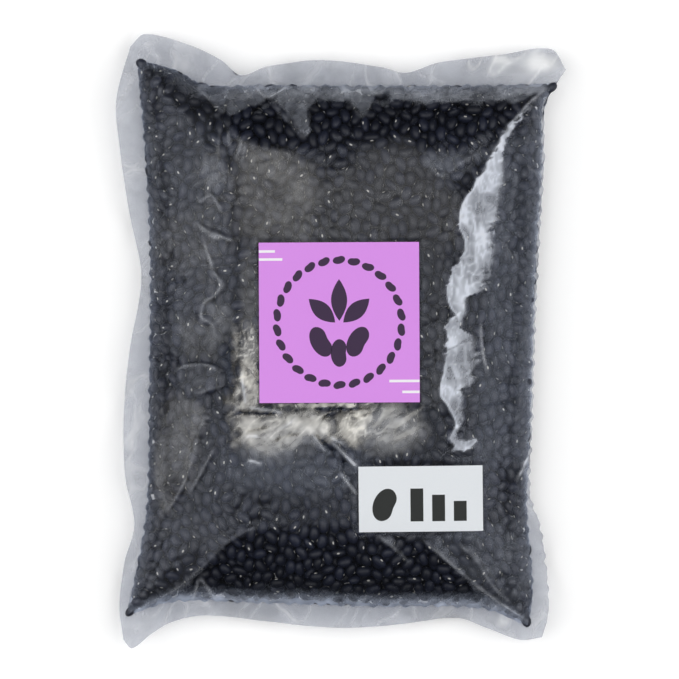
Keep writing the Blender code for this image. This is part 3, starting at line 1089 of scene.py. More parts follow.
def round_patch(centre, half, turn=0.0):
    """An ellipse's outline as sixteen points, in mm like its centre and half sizes."""
    angle = 2 * np.pi * np.arange(16) / 16
    x, y = half[0] * np.cos(angle), half[1] * np.sin(angle)
    cos, sin = np.cos(np.radians(turn)), np.sin(np.radians(turn))
    return np.column_stack([centre[0] + x * cos - y * sin, centre[1] + x * sin + y * cos])


# %% Patches of milk
SMOKE = (
    # outline mm, soft edge mm, milk, warmth
    # the slack film above the large sticker, milkier on its left
    (((-62, 123), (-49, 119), (-26, 114), (-13, 105), (-20, 61), (-52, 61), (-65, 69), (-63, 100)),
     13, 0.058, 0.8),
    (round_patch((-44, 100), (20, 20), 20), 14, 0.040, 0.8),
    (round_patch((-48, 70), (12, 10)), 12, 0.020, 0.8),
    (((-44, 114), (-5, 105), (6, 108), (15, 119), (40, 125), (62, 100), (74, 85), (71, 61), (-50, 61)),
     16, 0.026, 0.8),
    (((51, 118), (54, 108), (63, 102), (72, 107), (80, 114), (99, 120), (90, 120), (76, 116), (62, 116)),
     3, 0.060, 0.3),
    # the left shoulder
    (((-120, 139), (-85, 139), (-73, 120), (-71, 1), (-110, -3), (-117, 63)), 12, 0.024, 0.3),
    (((-85, 112), (-74, 113), (-73, 95), (-79, 93), (-84, 97)), 6, 0.080, 0.4),
    (((-84, 24), (-70, 22), (-68, 9), (-74, 0), (-83, 2)), 6, 0.070, 0.5),
    (((-101, 12), (-84, 14), (-78, 0), (-80, -9), (-98, -9)), 6, 0.050, 0.6),
    (round_patch((-110, 26), (9, 7)), 5, -0.014, 0.3),
    (round_patch((-98, 128), (10, 9)), 7, -0.010, 0.3),
    (round_patch((-100, 62), (15, 18)), 12, 0.018, 0.9),
    (((-100, -33), (-82, -44), (-90, -56), (-97, -87), (-112, -110), (-118, -81), (-113, -50)),
     5, 0.075, 0.6),
    (((-81, -46), (-76, -61), (-91, -90), (-97, -99), (-93, -76), (-86, -55)), 2.5, 0.010, 0.3),
    (((-108, -23), (-92, -15), (-81, -16), (-73, -23), (-82, -30), (-90, -33)), 3, 0.030, 0.4),
    # round the large sticker: partly milk, partly a painted warm reflection
    (((-60, -48), (-50, -46), (-18, -44.5), (-8, -47), (-5, -55), (-12, -60), (-21, -59), (-30, -65),
      (-46, -70), (-58, -66)), 7, 0.42, 0.85),
    (((-34, -47), (-16, -46), (-9, -52), (-14, -57), (-32, -55)), 6, 0.18, 0.9),
    (round_patch((-51, -66), (8, 3.5), -8), 4, -0.16, 0.6),
    (round_patch((-9, -55), (3.2, 2.6)), 2.5, 0.22, 0.9),
    (round_patch((-58, -52), (8, 5)), 6, 0.26, 0.9),
    (round_patch((-36, -63), (24, 9), 12), 13, 0.20, 0.5),
    (((-4, -43), (18, -43), (17, -54), (9, -65), (1, -59)), 5, 0.36, 1.0),
    (round_patch((31, -56), (20, 12)), 13, 0.27, 0.6),
    (((-42, -38.5), (20, -38.5), (16, -41), (-42, -41)), 1.2, 0.50, 1.0),
    (round_patch((-54, -76), (6, 2.2)), 3, 0.06, 0.2),
    (round_patch((-28, -78), (44, 15)), 20, 0.046, 0.1),
    (round_patch((-57, 30), (5, 30)), 6, 0.060, 0.7),
    (round_patch((-56, -6), (5, 12)), 5, 0.30, 0.8),
    (round_patch((-57, -20), (5.5, 9), 6), 4, 0.46, 1.0),
    (round_patch((-56, -34), (5, 7)), 5, 0.26, 0.9),
    (((-74, 4), (-63, 4), (-64, -40), (-73, -38)), 5, -0.016, 0.3),
    # the right shoulder
    (((84, 96), (100, 130), (124, 128), (122, 30), (118, -80), (86, -80), (86, -20), (92, 40)),
     12, 0.037, 0.1),
    (((51, 60), (66, 60), (64, -40), (51, -40)), 8, 0.012, 0.6),
    (((72, -56), (92, -60), (96, -96), (88, -118), (80, -120)), 9, 0.024, 0.2),
    # film drawn out from the bottom corners
    (((-108, -158), (-89, -143), (-69, -124), (-79, -112), (-100, -104), (-122, -120), (-128, -150)),
     6, 0.010, 0.4),
    (((50, -123), (79, -148), (113, -174), (118, -150), (112, -110), (90, -116)), 6, 0.040, 0.2),
    (((23, -121), (36, -125), (42, -138)), 1.5, 0.050, 0.3),
    # tents of film that hang from the top seal
    (((-89, 155), (-84, 153), (-75, 144), (-71, 154), (-71, 162), (-86, 164)), 2.5, 0.155, 0.2),
    (((-74, 163), (-69, 141), (-50, 148), (-43, 163)), 2.5, 0.165, 0.3),
    (((-56, 164), (-46, 153), (-31, 164)), 2, 0.170, 0.2),
    (((-45, 153), (-21, 128), (-21, 145), (-7, 163), (-35, 163)), 2, 0.185, 0.3),
    (((-1, 163), (6, 149), (13, 140), (20, 152), (25, 163)), 2.5, 0.200, 0.3),
    (((15, 164), (23, 156), (32, 164)), 2, 0.180, 0.2),
    (((-24, 163), (-10, 150), (4, 152), (2, 163)), 3, 0.185, 0.3),
    (((28, 163), (32, 152), (56, 149), (81, 151), (114, 150), (129, 159), (126, 163)), 3, 0.225, 0.3),
)
CLEAR = (
    ((-85, 146), (-75, 138), (-63, 127), (-50, 122), (-32, 116), (-10, 114), (-5, 108), (1, 105), (7, 112),
     (13, 121), (28, 127), (42, 128), (52, 120), (77, 118), (92, 122), (104, 134), (113, 148), (62, 151),
     (25, 153), (-19, 154), (-50, 153), (-67, 149)),
    ((-104, -159), (-88, -144), (-69, -125), (-49, -114), (-21, -116), (8, -110), (14, -121), (50, -124),
     (62, -134), (79, -149), (98, -164), (60, -168), (0, -166), (-60, -164)),
)

print("patches:", len(SMOKE), "clear bands:", len(CLEAR))

# %% [markdown]
# ## Ribbons of crumpled film
#
# Down the right shoulder the film has doubled over into a bright crumpled ribbon. Its brightness is
# partly the milk of the doubled film and partly a painted reflection, with a painted highlight along
# its fold. It isn't a patch with a soft edge: its left edge is a sharp fold, and its right edge
# breaks up into wisps. So its milk is worked out from two measures, the distance from a smooth path
# and the share along it.

# %% Ribbons of crumpled film
RIBBONS = (
    # x mm, y mm and width mm along the left edge of the crumpled film, then milk (partly painted
    # reflection) and how creased it is
    (((118, 146, 2), (104, 132, 2.5), (97, 119, 5), (90, 107, 14), (83, 96, 19), (76, 84, 24), (74, 71, 24),
      (78, 60, 16), (72, 46, 21), (67, 34, 23), (67, 24, 15), (73, 15, 7)), 0.72, 0.2),
    (((74, 17, 4), (67, 12, 13), (66, -6, 19), (64, -19, 19), (62, -32, 15), (69, -45, 8), (72, -54, 3)),
     0.66, 0.6),
    (((72, -52, 2), (69, -61, 4), (72, -67, 8), (79, -67, 6), (85, -62, 2)), 0.50, 0.1),
)


RIBBON_REACH = 0.028


def beside_path(places, path, steps=60):
    """How far each place is from a smooth path, positive on its left, and its share along the path."""
    line = smooth_curve(path, np.linspace(0, 1, steps))
    tangent = np.gradient(line, axis=0)
    tangent /= np.linalg.norm(tangent, axis=1, keepdims=True)
    flat = places.reshape(-1, 2)
    nearest = ((flat[:, None] - line[None]) ** 2).sum(axis=2).argmin(axis=1)
    away = flat - line[nearest]
    aside = away[:, 1] * tangent[nearest, 0] - away[:, 0] * tangent[nearest, 1]
    beyond = (away * tangent[nearest]).sum(axis=1) / np.linalg.norm(line[1] - line[0])
    share = (nearest + np.clip(beyond, -2, 2)) / (steps - 1)
    return aside.reshape(places.shape[:-1]), share.reshape(places.shape[:-1])


def near_path(places, path, reach):
    """Which places lie in the path's box, grown by reach."""
    return ((places > path.min(axis=0) - reach) & (places < path.max(axis=0) + reach)).all(axis=-1)


def ribbon(places, rows, creased):
    """A ribbon's milk and painted reflection: a thin painted highlight on its left edge, then full to
    its right edge, where it breaks up into wisps. Its width changes along it. Feathers are ridges that
    push its edges out."""
    rows = np.array(rows) / 1000
    total = np.zeros(places.shape[:-1])
    near = near_path(places, rows[:, :2], RIBBON_REACH)
    spots = places[near]
    aside, share = beside_path(spots, rows[:, :2])
    chords = np.linalg.norm(np.diff(rows[:, :2], axis=0), axis=1)
    width = np.interp(share, np.concatenate([[0], np.cumsum(chords)]) / chords.sum(), rows[:, 2])
    feathered = smooth_step(0.4 + 1.6 * lattice_noise(spots, 0.022, 240))
    feathers = ridges(spots, 0.0030, 245, 15, 2.5, 2) - 0.35
    aside = aside + 0.0008 * lattice_noise(spots, 0.005, 201) + 0.0030 * feathered * feathers
    across = aside / width
    body = smooth_step(aside / 0.0012 + 0.5) * smooth_step((1.10 - across + 0.25 * feathers) / 0.45)
    wisps = 0.42 + 0.42 * ridges(spots, 0.0055, 210, 105, 2.2, 2)
    wisps = wisps + 0.50 * ridges(spots, 0.0024, 220, 95, 2.6, 3)
    wisps = wisps * (1 - creased * ridges(spots, 0.0060, 250, 125, 1.6, 7))
    cloud = 0.92 + 0.45 * lattice_noise(spots, 0.011, 230)
    # The rim is a painted highlight along the fold.
    rim = 0.7 * (1 - 0.7 * feathered) * np.exp(-((aside / 0.0007) ** 2))
    fade = smooth_step(share / 0.04 + 0.5) * smooth_step((1 - share) / 0.04 + 0.5)
    total[near] = fade * (body * wisps * cloud + rim)
    return total


print("longest ribbon in mm:", round(sum(np.hypot(*np.diff(np.array(RIBBONS[0][0])[:, :2], axis=0).T))))

# %% [markdown]
# ## Folds, gathers and crumpling
#
# Long folds run in from the corners, down the shoulders and across the slack film, and each has a
# crest that catches the light. They are listed one by one, because they give the bag its face. The
# seal draws the film short, which gathers it into little folds at every centimetre or so: those come
# from dice. Where the film was handled it is crumpled finely, which is ridged noise in an outline.

# %% Folds
# Each crest's brightness is partly its shape catching the lamps and partly a painted highlight in its milk.
FOLDS = (
    # path mm, height mm, widths mm to the left and right of the path, how blunt its ends are, milk
    # along the crest: crease whitening and a painted highlight, or a painted dark line where negative
    # the fold from the top right corner, down the right shoulder
    (((134, 163), (117, 148), (104, 132), (96, 119), (88, 104), (80, 92)), 3.2, 8.0, 2.5, 0.18, 0.20),
    (((92, 110), (82, 96), (76, 84), (74, 71), (78, 60), (72, 46), (67, 34), (67, 24), (73, 15)),
     3.4, 13.0, 2.0, 0.12, 0.0),
    (((73, 17), (67, 12), (66, -6), (64, -19), (62, -32), (69, -45), (72, -54)), 3.0, 10.0, 1.8, 0.15, 0.0),
    (((72, -52), (69, -61), (73, -67), (80, -67), (86, -62)), 2.0, 5.0, 1.6, 0.2, 0.10),
    (((92, 94), (98, 98), (106, 98)), 1.2, 1.5, 2.0, 0.3, 0.12),
    (((51, 118), (55, 108), (64, 103), (76, 112), (90, 119)), 1.2, 1.6, 2.2, 0.25, 0.05),
    (((99, 64), (108, 52), (112, 38)), 1.2, 2.5, 2.5, 0.3, 0.05),
    (((111, -86), (114, -81), (117, -75), (122, -71)), 1.8, 1.5, 2.0, 0.2, 0.40),
    (((86, -41), (100, -39), (113, -40)), -1.2, 2.0, 2.5, 0.3, -0.03),
    (((87, 14), (88, -4), (92, -24)), 1.2, 1.2, 2.0, 0.3, 0.22),
    # the left shoulder
    (((-85, 147), (-74, 137), (-62, 127), (-50, 121), (-30, 115)), 1.5, 2.0, 3.5, 0.2, 0.02),
    (((-75, 136), (-76, 125), (-77, 113)), 0.8, 1.2, 1.2, 0.3, 0.05),
    (((-70, 132), (-70, 127), (-69, 120)), 1.0, 1.0, 1.2, 0.3, 0.17),
    (((-62, 127), (-63, 120), (-66, 113)), 1.0, 1.0, 1.2, 0.3, 0.17),
    (((-60, 125), (-60, 118), (-62, 110)), 0.8, 1.0, 1.0, 0.3, 0.08),
    (((-70, 112), (-69, 95), (-70, 76)), 0.7, 1.2, 1.2, 0.3, 0.04),
    (((-90, 93), (-88, 87), (-81, 91), (-77, 85), (-73, 79)), 1.2, 1.4, 1.4, 0.2, 0.12),
    (((-91, 74), (-84, 69), (-72, 64), (-66, 62)), 1.4, 1.4, 1.6, 0.2, 0.22),
    (((-90, 71), (-82, 66), (-73, 62)), 1.0, 1.0, 1.2, 0.3, 0.16),
    (((-86, 65), (-84, 57), (-81, 49), (-80, 44), (-75, 36), (-78, 29), (-85, 24), (-87, 15), (-80, 10),
      (-78, 2)), 1.6, 1.5, 2.5, 0.12, 0.16),
    (((-112, 34), (-104, 36), (-95, 38)), -1.4, 1.8, 2.2, 0.3, -0.02),
    (((-110, 45), (-98, 47), (-86, 50)), 0.9, 1.4, 1.8, 0.3, 0.03),
    (((-110, 41), (-99, 42), (-90, 43)), 0.8, 1.2, 1.6, 0.3, 0.03),
    (((-108, -23), (-101, -17), (-92, -15), (-81, -16), (-73, -23)), 1.5, 1.6, 2.4, 0.25, 0.10),
    (((-73, -23), (-74, -28), (-82, -30), (-90, -33)), 1.3, 1.4, 2.0, 0.25, 0.08),
    (((-82, -43), (-88, -55), (-93, -75), (-100, -93), (-111, -110)), 2.6, 1.2, 9.0, 0.15, 0.10),
    (((-76, -61), (-84, -76), (-96, -98)), 1.3, 1.2, 2.5, 0.25, 0.09),
    (((-112, -92), (-108, -104), (-100, -112)), 1.0, 1.5, 1.5, 0.3, 0.05),
    # under the large sticker
    (((-66, -44.5), (-52, -45.5), (-38, -44.5)), -1.8, 1.4, 2.0, 0.2, -0.38),
    (((-20, -41.5), (0, -42.5), (20, -41.8)), -1.4, 0.9, 1.2, 0.2, -0.38),
    (((-8, -46), (2, -44), (12, -46)), -0.8, 0.7, 0.9, 0.3, -0.25),
    (((-13, -49), (-8, -46.5), (-2, -43.5)), -0.8, 0.7, 0.9, 0.3, -0.40),
    (((2, -48.5), (11, -47.5), (20, -44)), -0.8, 0.7, 0.9, 0.3, -0.35),
    (((-61, -60.5), (-55, -59), (-50, -60.5)), 0.9, 0.8, 1.4, 0.3, 0.34),
    (((-61, -57), (-52, -55), (-44, -53)), -0.8, 0.8, 1.2, 0.3, -0.24),
    (((-40, -56), (-33, -52), (-27, -46.5)), 0.8, 0.8, 1.2, 0.3, 0.22),
    (((-44, -64), (-36, -60), (-24, -57.5)), -0.8, 0.9, 1.6, 0.3, -0.22),
    (((-7, -59), (-3, -62), (3, -65)), 0.8, 0.7, 1.0, 0.3, 0.34),
    (((-59, -41), (-47, -43), (-35, -45)), 0.8, 0.8, 1.2, 0.2, 0.30),
    (((-62.5, -18), (-61, -28), (-59, -40)), 0.8, 0.8, 1.2, 0.2, 0.34),
    (((-59, -74), (-54, -75), (-49, -77)), 0.8, 0.8, 1.5, 0.3, 0.45),
    (((-17.5, -57), (-9, -64.5), (-1, -72.5), (6, -82)), -1.4, 1.2, 1.4, 0.15, -0.30),
    (((-19, -58), (-14, -63), (-9.5, -70)), 1.0, 0.9, 1.2, 0.2, 0.24),
    (((-6.5, -62), (2, -70.5), (10.5, -79)), 1.2, 0.9, 1.4, 0.15, 0.44),
    (((-2, -80), (4, -88), (11, -97)), 1.0, 0.9, 1.4, 0.25, 0.25),
    # creases that run in from the bottom corners
    (((-131, -172), (-108, -158), (-89, -143), (-69, -124), (-48, -113)), 2.2, 5.0, 1.6, 0.15, 0.07),
    (((122, -180), (113, -173), (98, -163), (79, -148), (62, -133), (50, -123)), 1.9, 1.5, 4.0, 0.15, 0.20),
    (((108, -166), (94, -152), (84, -136), (70, -124)), 1.4, 1.2, 2.0, 0.2, 0.13),
    (((104, -160), (93, -145), (80, -128)), 1.3, 1.5, 2.2, 0.2, 0.06),
    (((23, -121), (32, -128), (42, -138)), 1.0, 1.0, 2.0, 0.3, 0.12),
    # the seal's tents
    (((-89, 158), (-83, 152), (-74, 143), (-71, 152)), 1.3, 1.6, 2.0, 0.2, 0.08),
    (((-56, 163), (-46, 153), (-31, 163)), 1.4, 1.6, 2.0, 0.2, 0.22),
    (((-46, 152), (-34, 140), (-21, 127)), 1.6, 4.0, 1.4, 0.2, 0.05),
    (((-21, 128), (-20, 138), (-20, 147)), 1.0, 1.4, 1.4, 0.3, 0.04),
    (((15, 164), (23, 155), (32, 164)), 1.4, 1.6, 2.0, 0.2, 0.26),
    (((5, 150), (13, 140), (20, 150)), 1.2, 1.4, 2.0, 0.25, 0.05),
    (((-89, -148), (-91, -156), (-95, -167)), 1.2, 1.0, 1.6, 0.25, 0.18),
    (((-89, -147), (-83, -156), (-77, -167)), 1.4, 1.2, 2.0, 0.25, 0.22),
)
# CREST_GLEAM is the width of that band of crest milk and painted highlight.
CREST, CREST_GLEAM = 0.0007, 0.00085


def tent(aside, left, right):
    """A fold's profile: 1 on the crest, falling off on each side like film drawn to a point, by the
    negative power of the distance over that side's width. The crest itself is a small round."""
    width = np.where(aside > 0, left, right)
    return np.exp(-(np.sqrt(aside**2 + CREST**2) - CREST) / width)


def add_folds(places, folds):
    """The height of all folds, and the milk along their crests: partly crease whitening and partly a
    painted highlight, and a painted dark line where the milk is negative.
    """
    height, milk = np.zeros(places.shape[:-1]), np.zeros(places.shape[:-1])
    for path, rise, left, right, blunt, white in folds:
        path = np.array(path) / 1000
        near = near_path(places, path, 5 * max(left, right) / 1000)
        aside, share = beside_path(places[near], path, 40)
        fade = smooth_step(np.minimum(share, 1 - share) / blunt)
        height[near] += rise / 1000 * fade * tent(aside, left / 1000, right / 1000)
        uneven = 1 + 0.6 * lattice_noise(places[near], 0.004, 57)
        milk[near] += white * uneven * fade * np.exp(-((aside / CREST_GLEAM) ** 2))
    return height, milk


print("folds:", len(FOLDS), "tallest in mm:", max(row[1] for row in FOLDS))

# %% Gathers along the seals


def gathers(side, spacing, depth, height, white, seed):
    """Short folds that run in from one side of the seal, at uneven steps, lengths and slants."""
    dice = np.random.default_rng(seed)
    length = np.linalg.norm(np.diff(side_curve(SEAL, side, [0.0, 1.0]), axis=0))
    count = int(length / spacing)
    share = (np.arange(count) + dice.uniform(0.1, 0.9, count)) / count
    share = share[(share > 0.05) & (share < 0.95)]
    start = side_curve(SEAL, side, share)
    tangent = side_curve(SEAL, side, share + 0.002) - side_curve(SEAL, side, share - 0.002)
    tangent /= np.linalg.norm(tangent, axis=1, keepdims=True)
    inward = np.column_stack([-tangent[:, 1], tangent[:, 0]]) * (1 if side in ("bottom", "left") else -1)
    inward[:, 0] *= -1 if side in ("left", "right") else 1
    reach = depth * dice.uniform(0.4, 1.4, (len(share), 1))
    end = start + (inward + dice.normal(0, 0.5, (len(share), 1)) * tangent) * reach
    bend = (start + end) / 2 + tangent * dice.normal(0, 0.12, (len(share), 1)) * reach
    paths = 1000 * np.stack([start - 0.001 * inward, bend, end], axis=1)
    tall = height * dice.uniform(0.4, 1.2, len(share))
    wide = dice.uniform(1.0, 2.6, (len(share), 2))
    # Each gather's crest milk, partly a painted highlight.
    pale = white * dice.uniform(0.0, 1.3, len(share))
    return [(paths[k], tall[k], wide[k, 0], wide[k, 1], 0.25, pale[k]) for k in range(len(share))]


GATHERS = (
    gathers("top", 0.017, 0.009, 1.2, 0.05, 5)
    + gathers("bottom", 0.014, 0.007, 1.2, 0.08, 6)
    + gathers("left", 0.014, 0.010, 1.0, 0.04, 7)
    + gathers("right", 0.014, 0.009, 1.0, 0.04, 8)
)
print("gathers:", len(GATHERS))

# %% Crumpled zones
CRUMPLES = (
    # outline mm, height mm, step mm, turn, stretch, milk of the painted glints on the ridges
    (((70, 100), (104, 100), (100, 30), (90, -40), (62, -40), (66, 30)), 0.55, 5.0, 100, 2.0, 0.0),
    (((-92, 120), (-66, 120), (-68, 10), (-88, 10)), 0.40, 6.0, 85, 2.2, 0.03),
    (((-70, -38), (50, -38), (46, -60), (4, -64), (-30, -62), (-66, -64)), 0.45, 4.5, 35, 2.4, 0.26),
    (((-4, -41), (19, -41), (17, -57), (4, -61)), 0.35, 3.0, 86, 2.8, 0.45),
    (((-64, 10), (-52, 10), (-52, -42), (-66, -42)), 0.55, 3.5, 85, 1.8, 0.50),
    (((-112, -30), (-84, -40), (-92, -96), (-114, -112)), 0.30, 8.0, 70, 2.0, 0.03),
)


def crumpling(places):
    """Coarse and fine ridges in each crumpled zone: their height, and painted glints on their crests,
    added to the milk.
    """
    height, milk = np.zeros(places.shape[:-1]), np.zeros(places.shape[:-1])
    for k, (outline, rise, size, turn, stretch, white) in enumerate(CRUMPLES):
        zone = patch(places, outline, 8)
        coarse = ridges(places, size / 1000, 300 + 10 * k, turn, stretch, 2)
        fine = ridges(places, 0.45 * size / 1000, 400 + 10 * k, turn, stretch, 2)
        height += zone * rise / 1000 * (coarse + 0.4 * fine)
        milk += zone * white * (coarse**3 + 0.5 * fine**3)
    return height, milk


def swells(places):
    """Slow rises and falls of slack film, longer along the bag than across it."""
    slow = 0.0006 * lattice_noise(places, 0.023, 11, 80, 1.6)
    return slow + 0.0003 * lattice_noise(places, 0.012, 12, 70, 1.5)


swell_sample = swells(places_fine[::20, ::20])
print("crumpled zones:", len(CRUMPLES), "largest swell in mm:", round(1000 * float(swell_sample.max()), 2))

# %% [markdown]
# ## The film's height and its milk
#
# The slack film is the membrane smoothed out, because a membrane's touching points are too sharp for
# thick film. In scattered patches it is mixed with the membrane that clings. Milk is a share of the
# light that the film scatters, and painted highlights, reflections and dark lines are added to it. It
# is put together from the patches, ribbons and crests, and in the two clear bands, where the film
# lies tight on the beans, almost none is left.

# %% Film height
LIFT = 0.0007
FILM_GAP = 0.0002
CLING_MOST = 0.28


def smoothed(height, width):
    """A map blurred about like a Gaussian: three runs of the mean over a box, along each axis."""
    reach = int(round(width / FILM_CELL))
    for axis in (0, 1) * 3:
        pads = [(reach + 1, reach) if k == axis else (0, 0) for k in (0, 1)]
        total = np.cumsum(np.pad(height, pads, "edge"), axis)
        size = height.shape[axis]
        last = np.take(total, np.arange(2 * reach + 1, 2 * reach + 1 + size), axis)
        height = (last - np.take(total, np.arange(size), axis)) / (2 * reach + 1)
    return height


RIM_RISE = 0.012
RIM_MAP = smooth_step((FILM_BASE - SEAL_HEIGHT) / RIM_RISE)
SLACK_FILM = np.maximum(smoothed(TAUT, 0.0030) + LIFT * RIM_MAP, TAUT)
SLACK_FILM = np.where(INSIDE, smoothed(SLACK_FILM, 0.0012) + 0.3 * LIFT, SEAL_HEIGHT)
slack_gap = 1000 * float((SLACK_FILM - TOPS)[INSIDE].mean())
print("mean gap of the slack film in mm:", round(slack_gap, 2))

# %% All heights together


def film_height(places):
    """Slack film mixed with clinging film, plus swells, crumpling, folds and gathers, and nowhere
    lower than the beans. It gives the height, the milk of the crests with their painted highlights,
    the painted glints of the crumpling, and how far the film stands off the beans."""
    tops = read_map(TOPS, places, FILM_CELL)
    rim = smooth_step((read_map(FILM_BASE, places, FILM_CELL) - SEAL_HEIGHT) / RIM_RISE)
    cling = CLING_MOST * smooth_step(0.5 + 1.5 * lattice_noise(places, 0.018, 31))
    slack = read_map(SLACK_FILM, places, FILM_CELL)
    height = slack * (1 - cling) + read_map(CLINGING, places, FILM_CELL) * cling
    crumples, glints = crumpling(places)
    height = height + rim * (swells(places) + crumples)
    folds, crests = add_folds(places, FOLDS)
    pulls, pale = add_folds(places, GATHERS)
    height = height + folds * (0.25 + 0.75 * rim) + pulls * (1 - 0.7 * rim)
    return np.maximum(height, tops) + FILM_GAP, crests + pale, glints, height - tops


# %% Film milk
THIN_MILK = 0.014
SEAL_PAINTED_LIGHT = {
    # painted light of the pale strip, and how far it reaches
    "left": (0.07, 0.0035),
    "right": (0.12, 0.0030),
    "bottom": (0.46, 0.0050),
    "top": (0.10, 0.0050),
}
STAND_OFF = 0.0022
LEAST_MILK, MOST_MILK = 0.001, 0.85
THICK_MILK = 0.15


def seal_milk_and_painted_light(places, away, gap):
    """The pale strip along each side of the seal, painted light that stands in for the table's light
    seen through film that stands off the beans: a bell of the distance from it, strongest where the
    film stands off the beans, and a hair line on the seal itself."""
    strips = [white * np.exp(-((away[side] / reach) ** 2)) for side, (white, reach) in SEAL_PAINTED_LIGHT.items()]
    open_air = 0.30 + 0.70 * smooth_step(gap / STAND_OFF)
    line = 0.10 * np.exp(-np.minimum.reduce(np.broadcast_arrays(*away.values())) / 0.0008)
    uneven = 1 + 0.5 * lattice_noise(places, 0.007, 75)
    return (np.maximum.reduce(np.broadcast_arrays(*strips)) * open_air + line) * uneven


def film_milk_and_painted_light(places, crests, glints, at_seal):
    """How milky the film is, 0 to 1, painted light included, and how warm it is: patches times clouds,
    less what the clear bands take and the painted shade of the furrows in thick milk, plus ribbons,
    crests, the crumpling's painted glints and the seal's strips."""
    cloud = 1 + 0.38 * lattice_noise(places, 0.013, 71) + 0.24 * lattice_noise(places, 0.005, 72)
    cloud = cloud + 0.16 * lattice_noise(places, 0.0026, 73)
    milk, warm = THIN_MILK * cloud, 0.3 * THIN_MILK * cloud
    for outline, soft, strength, warmth in SMOKE:
        part = strength * patch(places, outline, soft) * cloud
        milk, warm = milk + part, warm + part * warmth
    clear = 1 - 0.9 * np.maximum.reduce([patch(places, outline, 3.5, 2.5) for outline in CLEAR])
    tents = milk > 0.05 + THIN_MILK
    keep = np.where(tents, np.maximum(clear, 0.75), clear)
    milk, warm = milk * keep, warm * keep
    thick = np.clip(milk / THICK_MILK, 0, 1)
    # Furrows paint dark crease lines, painted shade, into thick milk.
    furrows = 0.40 * ridges(places, 0.008, 500, 165, 2.2, 7)
    furrows = furrows + 0.38 * ridges(places, 0.0035, 510, 40, 3.0, 3)
    milk, warm = milk * (1 - thick * furrows) + glints, warm * (1 - thick * furrows) + 0.9 * glints
    for rows, strength, creased in RIBBONS:
        part = strength * ribbon(places, rows, creased)
        milk, warm = milk + part, warm + 0.35 * part
    milk, warm = milk + crests + at_seal, warm + 0.45 * crests
    milk = np.clip(milk, LEAST_MILK, MOST_MILK)
    return milk, np.clip(warm / milk, 0, 1)


print("milk along each side of the seal:", {side: white for side, (white, _) in SEAL_PAINTED_LIGHT.items()})


# %% Film mesh
FILM_ACROSS, FILM_ALONG = 264, 350
UNDER_LABEL = -0.0004
PRESS_EDGE = 0.003
SEAL_RIM = ((0, slice(None)), (-1, slice(None)), (slice(None), 0), (slice(None), -1))


def under_labels(places):
    """1 under a sticker and 0 outside it, over 3 mm: the film is pressed flat there."""
    total = np.zeros(places.shape[:-1])
    for node in ("main_label", "weight_label"):
        low, high = (np.array(corner)[:2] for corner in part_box(node))
        inside = np.minimum(places - low, high - places).min(axis=-1)
        total = np.maximum(total, smooth_step(inside / PRESS_EDGE + 1))
    return total


def put_film():
    """The front film as a grid over the patch. Its height is blurred a little along both axes, by a
    quarter, a half and a quarter, then pressed flat under the stickers and held to the seal."""
    u, v = np.linspace(0, 1, FILM_ACROSS + 1)[None, :], np.linspace(0, 1, FILM_ALONG + 1)[:, None]
    places = bag_point(u, v)
    height, crests, glints, gap = film_height(places)
    for axis in (0, 1):
        height = (np.roll(height, 1, axis) + 2 * height + np.roll(height, -1, axis)) / 4
    pressed = under_labels(places)
    flat = np.minimum(height, front_height(u, v) + UNDER_LABEL)
    height = height * (1 - pressed) + flat * pressed
    for rim in SEAL_RIM:
        height[rim] = SEAL_HEIGHT
    # The stored milk holds painted highlights, reflections and dark lines as well as the film's own milk.
    milk, warmth = film_milk_and_painted_light(places, crests, glints, seal_milk_and_painted_light(places, distances_in(u, v), gap))
    points = np.dstack([places, height]).reshape(-1, 3)
    piece = put_mesh("front_film", points, grid_faces(FILM_ALONG + 1, FILM_ACROSS + 1), FILM)
    store(piece, "milk", milk)
    store(piece, "warmth", warmth)
    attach(piece, "root")
    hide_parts("bag")


# %% [markdown]
# ## The look of clear film
#
# Film lets most light straight through. A small share is mirrored, more at a slant, and a milky
# share is scattered. So the material is see-through, mixed with one Principled shader that does both
# of the other jobs: its metallic value is the mirror's part of what isn't let through. The milk also
# carries painted highlights and reflections. It is bluish over the dark beans, and its warm colour is
# mostly that of the painted reflections and glints where the film is thickly crumpled.

# %% Film material
# The warm colour is mostly that of the painted reflections and glints.
COLD_MILK, WARM_MILK_AND_SHEEN = (0.62, 0.70, 0.88), (0.86, 0.83, 0.76)
FILM_INDEX = 1.36


def math_node(tree, operation, first, second, clamp=False):
    """A Math node. Each input is a number or a (node, output) pair."""
    node = tree.nodes.new("ShaderNodeMath")
    node.operation = operation
    node.use_clamp = clamp
    for socket, source in enumerate((first, second)):
        if isinstance(source, tuple):
            link(tree, *source, node, socket)
        else:
            node.inputs[socket].default_value = source
    return node


